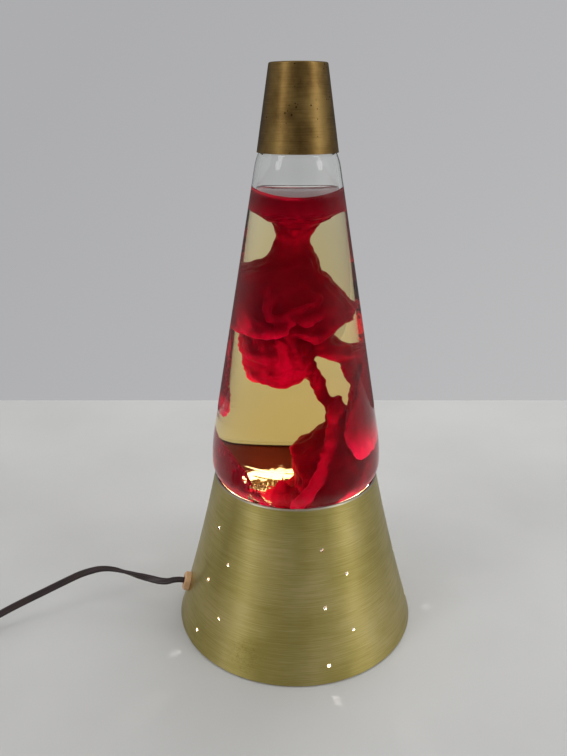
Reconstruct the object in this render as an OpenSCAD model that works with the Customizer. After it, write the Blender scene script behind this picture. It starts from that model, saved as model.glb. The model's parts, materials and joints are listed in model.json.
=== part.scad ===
// Liquid motion lamp: a glass globe of liquid and wax stands in a spun metal cone that hides the bulb.
// Millimetres, +Z up, origin on the table at the centre of the base. The camera side is -Y.

/* [Base] */
// Outer diameter at the table
base_d = 184; // [170:1:200]
// Height of the rolled rim above the table
base_h = 124.2; // [120:0.1:128]
// Outer diameter of the rolled rim
rim_d = 121.4; // [120.8:0.2:122]
// How far the wall is hollowed between rim and table
wall_hollow = 1.3; // [0:0.1:3]
// Thickness of the spun sheet
sheet = 0.9; // [0.7:0.1:1.1]
// Diameter of the small light holes
star_d = 2.6; // [2:0.1:4]
// Groups of light holes around the base
star_groups = 5; // [3:1:6]
// Angle between the two columns of a group
star_step = 14.4; // [8:0.2:20]

/* [Globe] */
// Largest outer diameter of the glass
globe_d = 124.6; // [124:0.2:125]
// Thickness of the glass
glass_t = 3; // [2.5:0.1:3.4]
// Height of the liquid above the table
fill_z = 328; // [300:1:336]
// Outer diameter of the neck
neck_d = 25.4; // [24:0.2:27]

/* [Cap] */
// Total height of the lamp
lamp_h = 406; // [405.5:0.5:410]
// Height of the cap
cap_h = 53; // [40:0.5:54]
// Outer diameter of the cap's open end
cap_d = 53; // [53:0.2:56]
// Outer diameter of the cap's closed end
cap_top_d = 37; // [35.6:0.2:40]
// Thickness of the cap's sheet
cap_t = 0.8; // [0.6:0.1:0.8]

/* [Bulb] */
// Largest diameter of the bulb
bulb_d = 47.6; // [44:0.2:48]
// Length of the bulb from contact to crown
bulb_len = 86; // [80:0.5:87]

/* [Cord] */
// Width of the flat cord
cord_w = 5.5; // [5:0.1:5.6]
// Thickness of the flat cord
cord_t = 2.9; // [2.6:0.1:3]

/* [Hidden] */
$fn = 96;
little = 0.01;

// Base shell: radii, hem and rim
base_r = base_d / 2;
rim_r = rim_d / 2;
bead_r = 1.3;
bead_c = [rim_r - bead_r, base_h - bead_r];
hem_w = 3.2;
hem_corner = 1;
flange_z = 4.2;
flange_in = 79;
// The wall is an arc through the hem corner and the bead, hollow by wall_hollow at its middle
wall_lo = [base_r, hem_corner];
wall_hi = [rim_r, base_h - bead_r];
wall_chord = norm(wall_hi - wall_lo);
wall_arc_r = (wall_chord * wall_chord / 4 + wall_hollow * wall_hollow) / (2 * max(wall_hollow, little));
wall_mid = (wall_lo + wall_hi) / 2;
wall_out = [wall_hi[1] - wall_lo[1], wall_lo[0] - wall_hi[0]] / wall_chord;
wall_centre = wall_mid + wall_out * (wall_arc_r - wall_hollow);
wall_steps = 16;
function wall_r(z) = wall_centre[0] - sqrt(pow(wall_arc_r, 2) - pow(z - wall_centre[1], 2));
function wall_tilt(z) = asin((wall_centre[1] - z) / wall_arc_r);
function wall_points(inset, z0, z1) = [for (i = [0 : wall_steps])
    let (z = z0 + (z1 - z0) * i / wall_steps) [wall_r(z) - inset / cos(wall_tilt(z)), z]];

// Light holes: five rows, odd rows one column step further round
star_rows = 5;
star_z0 = 13.2;
star_row_step = 20.4;
star_first = 15;

// Cord outlet in the wall, seen from above, anticlockwise from +X
outlet_az = 186.5;
outlet_z = 28;
outlet_hole_r = 5.55;
head_r = 7.2;
head_h = 4.6;
head_recess = 0.8;
relief_in = 15.4;

// Bottom plate and its screws
plate_t = 1;
plate_z = flange_z - plate_t;
plate_r = 87.4;
plate_step_r = 68;
plate_rise = 2;
plate_top = plate_z + plate_rise + plate_t;
screw_pitch_r = 83.5;
screw_r = 1.5;
screw_head_r = 2.8;
screw_head_h = 1.5;

// Socket and bulb
thread_pitch = 3.63;
thread_mid = 12.7;
thread_depth = 0.35;
thread_gap = 0.3;
socket_z = plate_top;
socket_floor = 2.5;
socket_h = 31;
socket_r = 18;
socket_bore_r = 14.3;
shell_t = 0.4;
contact_z = socket_z + socket_floor;
bulb_z = contact_z + 1.6;
bulb_top = bulb_z + bulb_len;
bulb_r = bulb_d / 2;
bulb_c = bulb_top - bulb_r;
bulb_neck_r = 11.9;
bulb_fillet = 25;
bulb_glass_t = 0.8;
bulb_skirt_z = bulb_z + 4;
bulb_rim_z = bulb_z + 25;
function thread_r(z, grow) = thread_mid + grow + thread_depth * cos(360 * z / thread_pitch);
function thread_points(z0, turns, grow) = [for (i = [0 : 8 * turns])
    let (z = z0 + i * thread_pitch / 8) [thread_r(z, grow), z]];

// Globe: heel arc, broad arc, straight cone, shoulder arc and neck, given for the outside face
globe_slope = 9.84;
heel_r = 19.2;
heel_c = [globe_d / 2 - heel_r, base_h + 11.7];
heel_end = -42;
broad_r = 125;
broad_c = [globe_d / 2 - broad_r, heel_c[1]];
shoulder_z = 344;
shoulder_r = 36;
broad_top = broad_c + broad_r * [cos(globe_slope), sin(globe_slope)];
cone_top = [broad_top[0] - (shoulder_z - broad_top[1]) * tan(globe_slope), shoulder_z];
shoulder_c = cone_top - shoulder_r * [cos(globe_slope), sin(globe_slope)];
neck_r = neck_d / 2;
neck_fillet = 6;
fillet_x = neck_r + neck_fillet;
fillet_z = shoulder_c[1] + sqrt(pow(shoulder_r + neck_fillet, 2) - pow(fillet_x - shoulder_c[0], 2));
fillet_a = atan2(fillet_z - shoulder_c[1], fillet_x - shoulder_c[0]);
lip_r = 13.3;
lip_h = 6;
liner_t = 0.8;
crown_t = 0.3;
crown_top = lamp_h - cap_t - 0.1;
liner_z = crown_top - crown_t - liner_t;
globe_floor = 100;
corner_r = 8;
heel_low = heel_c + heel_r * [cos(heel_end), sin(heel_end)];
corner_z = globe_floor + corner_r;
corner_x = heel_low[0] - (heel_low[1] - (corner_z + corner_r * sin(heel_end))) * tan(-heel_end)
    - corner_r * cos(heel_end);
punt_rise = 3;
punt_r = 26;
function arc(c, r, a0, a1, n) = [for (i = [0 : n]) c + r * [cos(a0 + (a1 - a0) * i / n), sin(a0 + (a1 - a0) * i / n)]];
// Profile from the centre of the floor to the top of the neck, moved inwards by t
function globe_profile(t) = concat(
    [[0, globe_floor + punt_rise + t], [punt_r * 0.6, globe_floor + punt_rise * 0.8 + t],
        [punt_r, globe_floor + punt_rise * 0.2 + t]],
    arc([corner_x, corner_z], corner_r - t, -90, heel_end, 5),
    arc(heel_c, heel_r - t, heel_end, 0, 10),
    arc(broad_c, broad_r - t, globe_slope / 4, globe_slope, 3),
    arc(shoulder_c, shoulder_r - t, globe_slope, fillet_a, 10),
    arc([fillet_x, fillet_z], neck_fillet + t, 180 + fillet_a - 10, 180, 4));
// Inner radius of the globe at height z, on the stretch that holds the wax
function globe_inner(z) =
    z < heel_low[1] ? heel_low[0] - (heel_low[1] - z) * tan(-heel_end) - glass_t / cos(heel_end)
    : z < heel_c[1] ? heel_c[0] + sqrt(pow(heel_r - glass_t, 2) - pow(z - heel_c[1], 2))
    : z < broad_top[1] ? broad_c[0] + sqrt(pow(broad_r - glass_t, 2) - pow(z - broad_c[1], 2))
    : broad_top[0] - (z - broad_top[1]) * tan(globe_slope) - glass_t / cos(globe_slope);

// Heating coil: a ring of wound wire on the globe's floor
coil_ring_r = 31;
coil_tube_r = 2.8;
coil_z = globe_floor + glass_t + coil_tube_r + 0.3;

// Wax: forms that melt into one mass. Each row is height, left, right, middle depth and half depth, from the top
// down, and a side given as past_wall ends at the glass. Forms that reach the glass keep gaps of their own to it.
wax_sides = 16;
past_wall = 70;
wax_step = 0.4;
wax_gap = 0.8;
wax_upper = [
    [fill_z - 0.4, -past_wall, past_wall, 0, 60], [318, -past_wall, past_wall, 0, 60], [316.2, -28, 27, 0, 28],
    [311.2, -17, 17, 0, 17], [304.5, -12.2, 8.8, 0, 10], [298, -11.6, 5.9, 0, 9], [290, -14.6, 6.9, 0, 12],
    [283, -20.6, 10.6, 0, 18], [279.7, -34, 12.2, -1, 21], [278.2, -past_wall, 12.8, -1, 22],
    [268, -past_wall, 16.8, -2, 25], [257, -past_wall, 25.5, -2, 28], [249, -past_wall, 33, -2, 30],
    [239, -past_wall, 23.8, -2, 28], [235.5, -42, 20, -2, 25], [231, -27, 17, -2, 18]];
wax_lobe = [
    [237, -28, 12, -6, 15], [231.7, -27.6, 13, -7, 18], [226, -30.4, 12, -8, 19], [219.5, -31.5, 10, -8, 19],
    [212, -29.4, 7.5, -8, 17], [205, -27.7, 6.5, -8, 15], [198.8, -25, 2.4, -8, 12], [195, -15, -3.4, -8, 7],
    [192.4, -11.5, -6.5, -8, 3]];
wax_band = [
    [238, 3, 16.5, -4, 11], [229, 2.5, 20, -4, 14], [222.4, 4, 29.5, -4, 16], [220.2, 5, 37, -4, 18],
    [218.6, 6, past_wall, -3, 20], [214.5, 11, past_wall, -2, 20], [212, 17, past_wall, -2, 19]];
wax_side = [
    [216, 27, 42, 0, 18], [211, 22, 39, 0, 27], [204, 28, 37.8, 0, 31], [197, 29.8, 39, 0, 33],
    [190.5, 28.8, 40.5, 0, 35], [187, 28, past_wall, 0, 36], [174, 26, past_wall, 0, 38], [152, 25, past_wall, 0, 36]];
wax_low = [
    [185.5, 20, 21.8, -14, 2.5], [182, 18.4, 22.6, -14, 8], [178, 17.4, 24.8, -13, 11], [174.5, 16.2, 34, -12, 14],
    [170.3, 16.6, past_wall, -10, 18], [165.4, 14.2, past_wall, -8, 23], [160, 9.2, past_wall, -6, 29],
    [154.8, 5, past_wall, -4, 34], [148.7, -2.4, past_wall, -2, 39], [135, -1.3, past_wall, -2, 42],
    [122, -3, past_wall, -2, 44], [115, -9, past_wall, -2, 44], [106.9, -14, past_wall, -2, 44]];
// Strand between the lobe and the low mass: x, y, z, roll and radius
wax_strand = [[3, -9, 222, 0, 5], [6.6, -7, 208, 0, 4.6], [9.2, -5, 199, 0, 4.4], [13.4, -4, 187, 0, 3.9],
    [16.4, -5, 178, 0, 3.4], [18.4, -6, 168, 0, 3.4]];
// Pool on the floor: its bank rises to the glass, and it is open where the gap's corners say
pool_gap = 1.6;
pool_top = 121;
pool_in_r = 14;
pool_bank = [[44, 114], [36, 111.3], [26, 109.6], [20, 108.2], [pool_in_r, 106.9]];
pool_opening = [[3, 22], [9, 62], [-28, 70], [-49, 38], [-17, 13.5]];
function wax_ring(row, gap) =
    let (limit = globe_inner(row[0]) - gap, left = max(row[1], -limit - 3), right = min(row[2], limit + 3))
    [for (i = [0 : wax_sides - 1]) let (a = 360 * i / wax_sides,
        p = [(left + right) / 2 + (right - left) / 2 * cos(a), row[3] + row[4] * sin(a)],
        held = min(1, limit / max(norm(p), little)))
        [p[0] * held, p[1] * held, row[0]]];

// Cord: a flat twin section swept along a route; the roll turns the section's width about the route
// Each row is x, y, z and roll, where a roll of 0 lays the width level
run_rows = [
    [-87.2, -9.9, 29.1, 0], [-91.4, -10.4, 30.1, 0], [-96.4, -10.8, 29.9, 5], [-101, -11, 28.8, 15],
    [-107, -9.6, 28.1, 35], [-113.2, -7.2, 27.9, 54], [-119.5, -5.2, 28.2, 75], [-125.9, -3.7, 28.9, 100],
    [-132.3, -2, 29.8, 125], [-138.8, -0.4, 30.6, 145], [-145, 1, 31.2, 162], [-151.4, 1.7, 31.5, 178],
    [-157.5, 1.4, 31.4, 194], [-163.4, 0.2, 30.7, 210], [-169.2, -1.8, 29.9, 222], [-175, -4.4, 28.8, 230],
    [-186, -9.8, 25.8, 234], [-196.9, -15.2, 22.7, 234], [-207.8, -20.5, 19.6, 234], [-218.2, -25.8, 16.6, 232],
    [-226.6, -30.5, 14.1, 226], [-235, -35.4, 11.5, 214], [-243.6, -40.6, 9.3, 198], [-251, -45, 8, 184],
    [-257.9, -49, 7.5, 180]];

// In-line switch past the run, on the table, lying along the cord's heading
switch_az = 210;
switch_len = 60;
switch_w = 21;
switch_t = 15;
switch_from = [-258, -49, 0];
heading = [cos(switch_az), sin(switch_az), 0];
inward = [sin(switch_az), -cos(switch_az), 0];
switch_mid = switch_from + heading * switch_len / 2;
switch_to = switch_from + heading * switch_len;
wheel_r = 11;
wheel_h = 5.4;
wheel_y = 2.6;
wheel_notches = 20;
hub_r = 2;
hub_fit = 0.05;
hub_h = 2;
slot_gap = 0.4;

// Coil of the unseen length: spirals in, climbs a layer in a half turn, and spirals out above itself
coil_out_r = 37.5;
coil_pitch = 3.4;
coil_turns = 3.5407;
coil_climb = 0.5;
coil_in_r = coil_out_r - coil_pitch * coil_turns;
coil_low_z = 3.4;
coil_high_z = coil_low_z + 6;
coil_lead = 34;
coil_tail = 32;
coil_rings = 24;
coil_sides = 6;
coil_c = switch_to + heading * coil_lead + inward * coil_out_r;
coil_start = atan2(-inward[1], -inward[0]);
coil_all_turns = 2 * coil_turns + coil_climb;
// Position on the coil after a given number of turns
function coil_radius(n) = coil_in_r - coil_pitch * coil_climb / 2
    + coil_pitch * abs(n - coil_turns - coil_climb / 2);
function coil_height(n) = coil_low_z + (coil_high_z - coil_low_z)
    * min(1, max(0, (n - coil_turns) / coil_climb));
function coil_point(n) = let (a = coil_start - 360 * n)
    [coil_c[0] + coil_radius(n) * cos(a), coil_c[1] + coil_radius(n) * sin(a), coil_height(n)];
lead_steps = 8;
// The lead rises from the switch's mid height to the lower layer, rolling from level to on edge
lead_rows = [for (i = [0 : lead_steps - 1]) let (s = i / lead_steps, p = switch_to + heading * coil_lead * s)
    [p[0], p[1], switch_t / 2 + (coil_low_z - switch_t / 2) * (1 - cos(180 * s)) / 2, 90 * (1 - cos(180 * s)) / 2]];
loop_rows = [for (i = [0 : coil_all_turns * coil_rings]) let (p = coil_point(i / coil_rings))
    [p[0], p[1], p[2], 90]];
coil_exit = coil_point(coil_all_turns);
plug_z = coil_high_z - 0.2;
tail_rows = [for (i = [1 : lead_steps]) let (s = i / lead_steps)
    [coil_exit[0] + coil_tail * s, coil_exit[1], coil_high_z + (plug_z - coil_high_z) * s,
        90 - 90 * (1 - cos(180 * s)) / 2]];
coil_rows = concat(lead_rows, loop_rows, tail_rows);

// Plug at the end of the tail, lying on the table with its blades along +X
plug_from = [coil_exit[0] + coil_tail, coil_exit[1], plug_z];
plug_len = 26;
plug_w = 25;
plug_t = 2 * plug_z;
collar_len = 12;
collar_r = 5;
blade_gap = 12.7;
blade_len = 17.5;
blade_w = 6.35;
blade_t = 1.5;

// Sweep helpers
function unit(v) = v / max(norm(v), little / 1000);
function at(rows, i) = let (r = rows[i]) [r[0], r[1], r[2]];
function along(rows, i) = unit(at(rows, min(i + 1, len(rows) - 1)) - at(rows, max(i - 1, 0)));
function section_ring(rows, i, shape) =
    let (t = along(rows, i), side = unit(cross(t, [0, 0, 1])), up = cross(side, t), a = rows[i][3])
    [for (p = shape) at(rows, i) + (side * cos(a) + up * sin(a)) * p[0] + (up * cos(a) - side * sin(a)) * p[1]];

// Flat twin section in parts of its width and thickness, with a groove along each face
twin_section = [for (p = [[0.5, 0.2], [0.36, 0.5], [0.14, 0.5], [0, 0.3], [-0.14, 0.5], [-0.36, 0.5],
    [-0.5, 0.2], [-0.5, -0.2], [-0.25, -0.5], [0, -0.3], [0.25, -0.5], [0.5, -0.2]]) [p[0] * cord_w, p[1] * cord_t]];
// Flat section with six corners for the coil
six_section = [for (a = [0 : 60 : 300]) [cos(a) * cord_w / 2, sin(a) * cord_t / 1.732]];
module sweep(rings) {
    n = len(rings[0]);
    m = len(rings);
    polyhedron(points = [for (r = rings) for (p = r) p],
        faces = concat(
            [[for (j = [0 : n - 1]) j]],
            [for (i = [0 : m - 2]) for (j = [0 : n - 1])
                [i * n + j, (i + 1) * n + j, i * n + (j + 1) % n]],
            [for (i = [0 : m - 2]) for (j = [0 : n - 1])
                [i * n + (j + 1) % n, (i + 1) * n + j, (i + 1) * n + (j + 1) % n]],
            [[for (j = [n - 1 : -1 : 0]) (m - 1) * n + j]]));
}

// Cylinder whose axis is turned from +Z to point along +X
module along_x(x, r, h) {
    translate([x, 0, 0]) rotate([0, 90, 0]) cylinder(r = r, h = h);
}

module on_wall(az, z) {
    rotate([0, 0, az]) translate([wall_r(z), 0, z]) rotate([0, -wall_tilt(z), 0]) children();
}

module star_holes() {
    for (g = [0 : star_groups - 1]) for (k = [0 : star_rows - 1])
        on_wall(-90 + star_first + g * 360 / star_groups + (k % 2) * star_step, star_z0 + k * star_row_step)
            along_x(-6, star_d / 2, 12);
}

module base_shell() {
    color("#9c9156") difference() {
        rotate_extrude() {
            polygon(concat(
                [[flange_in, flange_z], [base_r - hem_w - sheet, flange_z], [base_r - hem_w, 0],
                    [base_r - hem_corner, 0]],
                wall_points(0, hem_corner, base_h - bead_r),
                [[bead_c[0], base_h - bead_r]],
                [for (i = [wall_steps : -1 : 0]) let (z = 6 + (base_h - bead_r - 6) * i / wall_steps)
                    [wall_r(z) - sheet / cos(wall_tilt(z)), z]],
                [[base_r - hem_corner - sheet, 1.6], [base_r - hem_w + sheet * 0.6, sheet],
                    [base_r - hem_w - sheet * 0.4, flange_z + sheet], [flange_in, flange_z + sheet]]));
            translate(bead_c) circle(r = bead_r, $fn = 32);
        }
        star_holes();
        on_wall(outlet_az, outlet_z) along_x(-8, outlet_hole_r, 14);
        for (a = [30, 150, 270]) rotate([0, 0, a]) translate([screw_pitch_r, 0, 0]) cylinder(r = screw_r, h = 8);
    }
}

module bottom_plate() {
    color("#26272a") difference() {
        rotate_extrude() polygon([[0, plate_top - plate_t], [plate_step_r, plate_top - plate_t],
            [plate_step_r + plate_rise, plate_z], [plate_r, plate_z], [plate_r, plate_z + plate_t],
            [plate_step_r + plate_rise + plate_t * 0.4, plate_z + plate_t],
            [plate_step_r + plate_t * 0.4, plate_top], [0, plate_top]]);
        for (a = [30, 150, 270]) rotate([0, 0, a]) translate([screw_pitch_r, 0, 0]) cylinder(r = screw_r, h = 8);
        for (a = [0 : 30 : 330]) rotate([0, 0, a]) {
            translate([42, -2, 0]) cube([16, 4, 12]);
            for (x = [42, 58]) translate([x, 0, 0]) cylinder(r = 2, h = 12, $fn = 32);
        }
        for (x = [-9, 9]) translate([x, 0, 0]) cylinder(r = screw_r, h = 12);
    }
}

module pan_screw(length) {
    rotate_extrude($fn = 48) polygon([[0, -screw_head_h], [screw_head_r * 0.6, -screw_head_h],
        [screw_head_r, -screw_head_h * 0.45], [screw_head_r, 0], [screw_r, 0], [screw_r, length], [0, length + 0.8]]);
}

module slotted_screw(length) {
    difference() {
        pan_screw(length);
        translate([-screw_head_r, -0.4, -screw_head_h - 1]) cube([2 * screw_head_r, 0.8, 1.6]);
    }
}

module plate_screws() {
    color("silver") for (a = [30, 150, 270]) rotate([0, 0, a]) translate([screw_pitch_r, 0, plate_z])
        slotted_screw(4);
}

module strain_relief() {
    color("#b8946a") on_wall(outlet_az, outlet_z) difference() {
        union() {
            translate([0.05, 0, 0]) rotate([0, 90, 0]) rotate_extrude() polygon([[0, 0], [head_r, 0],
                [head_r, head_h - 1], [head_r - 1, head_h - 0.05], [0, head_h - 0.05]]);
            rotate([0, -90, 0]) rotate_extrude() polygon([[0, -0.5], [outlet_hole_r, -0.5], [outlet_hole_r, 1.4],
                [outlet_hole_r + 0.5, 2.4], [outlet_hole_r - 0.4, 5], [4.2, relief_in], [0, relief_in]]);
        }
        along_x(head_h - head_recess, 3.6, 3);
        for (s = [-1, 1]) translate([-1, s * 8.9 - 2.4, -8]) cube([8, 4.8, 16]);
        translate([-6, -0.3, -9]) cube([4, 0.6, 18]);
    }
}

module socket_body() {
    color("#3a2a22") difference() {
        rotate_extrude() polygon([[0, socket_z], [socket_r + 1.4, socket_z], [socket_r + 1.4, socket_z + 3],
            [socket_r, socket_z + 4], [socket_r - 0.4, socket_z + socket_h - 1], [socket_r - 1.4, socket_z + socket_h],
            [socket_bore_r, socket_z + socket_h], [socket_bore_r, contact_z], [0, contact_z]]);
        for (x = [-9, 9]) translate([x, 0, socket_z - 1]) cylinder(r = screw_r, h = 10);
        for (s = [-1, 1]) translate([-5, s * (socket_r - 1.6) - 2, socket_z + 8]) cube([10, 4, 12]);
    }
}

module socket_screws() {
    color("silver") for (x = [-9, 9]) translate([x, 0, plate_top - plate_t]) slotted_screw(2.2);
}

module socket_shell() {
    z0 = socket_z + 9;
    inner = thread_points(z0, 4.5, thread_gap);
    outer = thread_points(z0, 4.5, thread_gap + shell_t);
    color("#c8a24a") rotate_extrude() polygon(concat(inner, [for (i = [len(outer) - 1 : -1 : 0]) outer[i]],
        [[socket_bore_r, z0], [socket_bore_r, z0 - shell_t],
            [thread_mid + thread_depth + thread_gap, z0 - shell_t]]));
}

module socket_contact() {
    color("#c8a24a") {
        translate([-3.5, -7, contact_z]) cube([7, 14, 0.4]);
        translate([0, 0, contact_z + 0.4]) cylinder(r1 = 3.4, r2 = 2.4, h = 1);
    }
}

module terminal_plates() {
    color("#c8a24a") for (s = [-1, 1]) translate([-4, s * (socket_r - 3.3) - 0.3, socket_z + 9]) cube([8, 0.6, 10]);
}

module terminal_screws() {
    color("silver") for (s = [-1, 1]) translate([0, s * (socket_r - 3), socket_z + 14]) rotate([-s * 90, 0, 0])
        rotate_extrude($fn = 32) polygon([[0, 0], [1.2, 0], [1.2, 2.4], [2.6, 2.4], [2.6, 3.4], [1.8, 4], [0, 4]]);
}

// Two conductors part from the relief's inner end and run to the socket's side screws
lead_r = 1.2;
lead_start = wall_r(outlet_z) - relief_in * cos(wall_tilt(outlet_z));
lead_z = outlet_z - relief_in * sin(wall_tilt(outlet_z));
function lead_route(s) = [
    [-lead_start * cos(outlet_az - 180) + s * 0.2, -lead_start * sin(outlet_az - 180) - s * 1.35, lead_z - 0.1, 0],
    [-64, -7.5 - s * 1.5, lead_z - 0.8, 0], [-58, -6.5 - s * 2.6, lead_z - 2, 0], [-50, -5 - s * 6, 19, 0],
    [-42, -3 - s * 12, 17.5, 0], [-33, -1.5 - s * 18, 17, 0], [-24, -s * 22, 17.6, 0], [-14, -s * 23, 18.8, 0],
    [-7, -s * 21.2, 19.8, 0], [-2.8, -s * 18.4, 20.2, 0]];
function round_section(r, n) = [for (i = [0 : n - 1]) r * [cos(360 * i / n), sin(360 * i / n)]];

module inner_leads() {
    color("#2c1a1c") for (s = [-1, 1]) {
        rows = lead_route(s);
        sweep([for (i = [0 : len(rows) - 1]) section_ring(rows, i, round_section(lead_r, 8))]);
    }
}

// Pear shape: a ball on a neck with a hollow fillet between
function bulb_profile(t) = let (fz = bulb_c - sqrt(pow(bulb_r + bulb_fillet, 2) - pow(bulb_neck_r + bulb_fillet, 2)),
        fx = bulb_neck_r + bulb_fillet, a = atan2(bulb_c - fz, fx))
    concat([[bulb_neck_r - t, bulb_rim_z - 6]], arc([fx, fz], bulb_fillet + t, 180, 180 - a, 6),
        arc([0, bulb_c], bulb_r - t, -a, 90, 20));

module bulb_envelope() {
    inner = bulb_profile(bulb_glass_t);
    color([1, 0.97, 0.88, 0.5]) rotate_extrude()
        polygon(concat(bulb_profile(0), [for (i = [len(inner) - 1 : -1 : 0]) inner[i]]));
}

module bulb_cap() {
    z0 = bulb_skirt_z;
    inner = thread_points(z0, 5, -shell_t);
    outer = thread_points(z0, 5, 0);
    color("#c9c9c4") rotate_extrude() polygon(concat(outer,
        [[thread_mid + 0.4, bulb_rim_z], [bulb_neck_r, bulb_rim_z], [bulb_neck_r, bulb_rim_z - 2.6]],
        [for (i = [len(inner) - 1 : -1 : 0]) inner[i]]));
}

module bulb_insulator() {
    color("#17171a") rotate_extrude() polygon([[0, bulb_z + 1], [4.8, bulb_z + 1], [12, bulb_skirt_z],
        [11.8, bulb_skirt_z + 1.2], [0, bulb_skirt_z + 1.2]]);
}

module bulb_contact() {
    color("#b9b5a8") rotate_extrude($fn = 48) polygon([[0, bulb_z], [2.6, bulb_z], [4.6, bulb_z + 0.8],
        [4.6, bulb_z + 1], [0, bulb_z + 1]]);
}

module bulb_stem() {
    z = bulb_rim_z - 6;
    color([0.9, 0.95, 0.95, 0.6]) rotate_extrude($fn = 48) polygon([[0, z + 4], [8, z + 2], [bulb_neck_r - bulb_glass_t, z],
        [bulb_neck_r - bulb_glass_t, z + 0.8], [8.4, z + 3], [3.4, z + 9], [2.4, z + 14], [2.4, z + 26], [0, z + 26]]);
}

stem_top = bulb_rim_z + 20;
wire_r = 0.25;
filament_z = bulb_c + 3;
module rod(a, b, r) {
    v = b - a;
    translate(a) rotate([0, acos(v[2] / norm(v)), atan2(v[1], v[0])]) cylinder(r = r, h = norm(v), $fn = 24);
}

module bulb_supports() {
    color("#9a9a98") for (a = [-18, 54, 126, 198])
        rod([1.6 * cos(a), 1.6 * sin(a), stem_top + wire_r],
            [filament_arc * cos(a), filament_arc * sin(a), filament_z - filament_r - wire_r], wire_r);
}

filament_r = 0.5;
filament_arc = 11;
// The filament is an open arc held by its two end wires and two hooks between them
module bulb_filament() {
    rows = [for (a = [0 : 24 : 216]) [filament_arc * cos(a - 18), filament_arc * sin(a - 18), filament_z, 0]];
    color("#ffd98a") sweep([for (i = [0 : len(rows) - 1]) section_ring(rows, i, round_section(filament_r, 6))]);
}

module globe_glass() {
    inner = globe_profile(glass_t);
    color([0.85, 0.9, 0.88, 0.35]) rotate_extrude() polygon(concat(globe_profile(0),
        [[neck_r, liner_z - lip_h - 1], [lip_r, liner_z - lip_h], [lip_r, liner_z - 0.8], [lip_r - 0.8, liner_z],
            [neck_r - glass_t, liner_z]],
        [for (i = [len(inner) - 1 : -1 : 0]) inner[i]]));
}

module wax() {
    color("#b00c1a") difference() {
        wax_forms();
        coil_space();
    }
}

module wax_form(rows, gap) {
    sweep([for (i = [len(rows) - 1 : -1 : 0]) wax_ring(rows[i], gap)]);
}

module wax_forms() {
    wax_form(wax_upper, wax_gap);
    wax_form(wax_lobe, wax_gap);
    wax_form(wax_band, wax_gap + wax_step);
    wax_form(wax_side, wax_gap + 2 * wax_step);
    wax_form(wax_low, wax_gap);
    sweep([for (i = [0 : len(wax_strand) - 1]) section_ring(wax_strand, i, round_section(wax_strand[i][4], 8))]);
    wax_pool();
}

module wax_pool() {
    floor_line = [for (p = globe_profile(glass_t + pool_gap)) if (p[0] > pool_in_r && p[1] < pool_top) p];
    difference() {
        rotate_extrude() polygon(concat([[pool_in_r, 106.6]], floor_line, pool_bank));
        translate([0, 0, globe_floor]) linear_extrude(pool_top - globe_floor + 2) polygon(pool_opening);
    }
}

module coil_space() {
    translate([0, 0, coil_z]) rotate_extrude() translate([coil_ring_r, 0]) circle(r = coil_tube_r + 0.3, $fn = 32);
}

module liquid() {
    body = [for (p = globe_profile(glass_t)) if (p[1] < fill_z) p];
    top_r = broad_top[0] - (fill_z - broad_top[1]) * tan(globe_slope) - glass_t / cos(globe_slope);
    color([0.75, 0.72, 0.4, 0.6]) difference() {
        rotate_extrude() polygon(concat(body, [[top_r, fill_z], [0, fill_z]]));
        wax_forms();
        coil_space();
    }
}

module heating_coil() {
    color("#a8a8a4") translate([0, 0, coil_z]) rotate_extrude() translate([coil_ring_r, 0])
        circle(r = coil_tube_r, $fn = 32);
}

module crown_liner() {
    color("#d8cfb8") translate([0, 0, liner_z]) cylinder(r = lip_r - 0.4, h = liner_t);
}

crown_skirt = 5.2;
module crown_cap() {
    color("#b9a45e") {
        rotate_extrude() polygon([[0, crown_top - crown_t], [lip_r - 0.2, crown_top - crown_t],
            [lip_r + 0.1, crown_top - 1], [lip_r + 0.2, crown_top - 2], [lip_r + 1.8, crown_top - crown_skirt],
            [lip_r + 2.1, crown_top - crown_skirt], [lip_r + 0.5, crown_top - 1.9], [lip_r + 0.2, crown_top - 0.6],
            [lip_r - 0.4, crown_top], [0, crown_top]]);
        for (a = [0 : 360 / 21 : 359]) rotate([0, 0, a])
            rod([lip_r + 0.5, 0, crown_top - 1.8], [lip_r + 2, 0, crown_top - crown_skirt + 0.4], 0.5);
    }
}

module top_cap() {
    z0 = lamp_h - cap_h;
    slope = (cap_d - cap_top_d) / 2 / cap_h;
    edge = 1.2;
    r0 = cap_d / 2;
    r1 = cap_top_d / 2;
    color("#6e5a34") rotate_extrude() polygon(concat([[r0 - cap_t, z0], [r0, z0]],
        arc([r1 + slope * edge - edge, lamp_h - edge], edge, 10, 90, 6),
        [[0, lamp_h], [0, lamp_h - cap_t], [r1 - edge, lamp_h - cap_t],
            [r1 + slope * edge - cap_t - 0.2, lamp_h - edge]]));
}

module cord_run() {
    color("#2c1a1c") sweep([for (i = [0 : len(run_rows) - 1]) section_ring(run_rows, i, twin_section)]);
}

module cord_coil() {
    color("#2c1a1c") sweep(coil_sections);
}

// Least space between the tube's turns, measured from ring points to the sides of the ring one turn on
function to_side(p, a, b) = let (v = b - a, k = min(1, max(0, (p - a) * v / (v * v)))) norm(p - a - v * k);
function ring_space(r, q) = min([for (p = r) for (j = [0 : len(q) - 1]) to_side(p, q[j], q[(j + 1) % len(q)])]);
coil_sections = [for (i = [0 : len(coil_rows) - 1]) section_ring(coil_rows, i, six_section)];
coil_spaces = [for (i = [lead_steps : len(coil_sections) - 1 - lead_steps])
    for (j = [i + coil_rings : coil_rings : len(coil_sections) - 1 - lead_steps])
        min(ring_space(coil_sections[i], coil_sections[j]), ring_space(coil_sections[j], coil_sections[i]))];
echo(coil_least_gap = min(coil_spaces));

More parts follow.
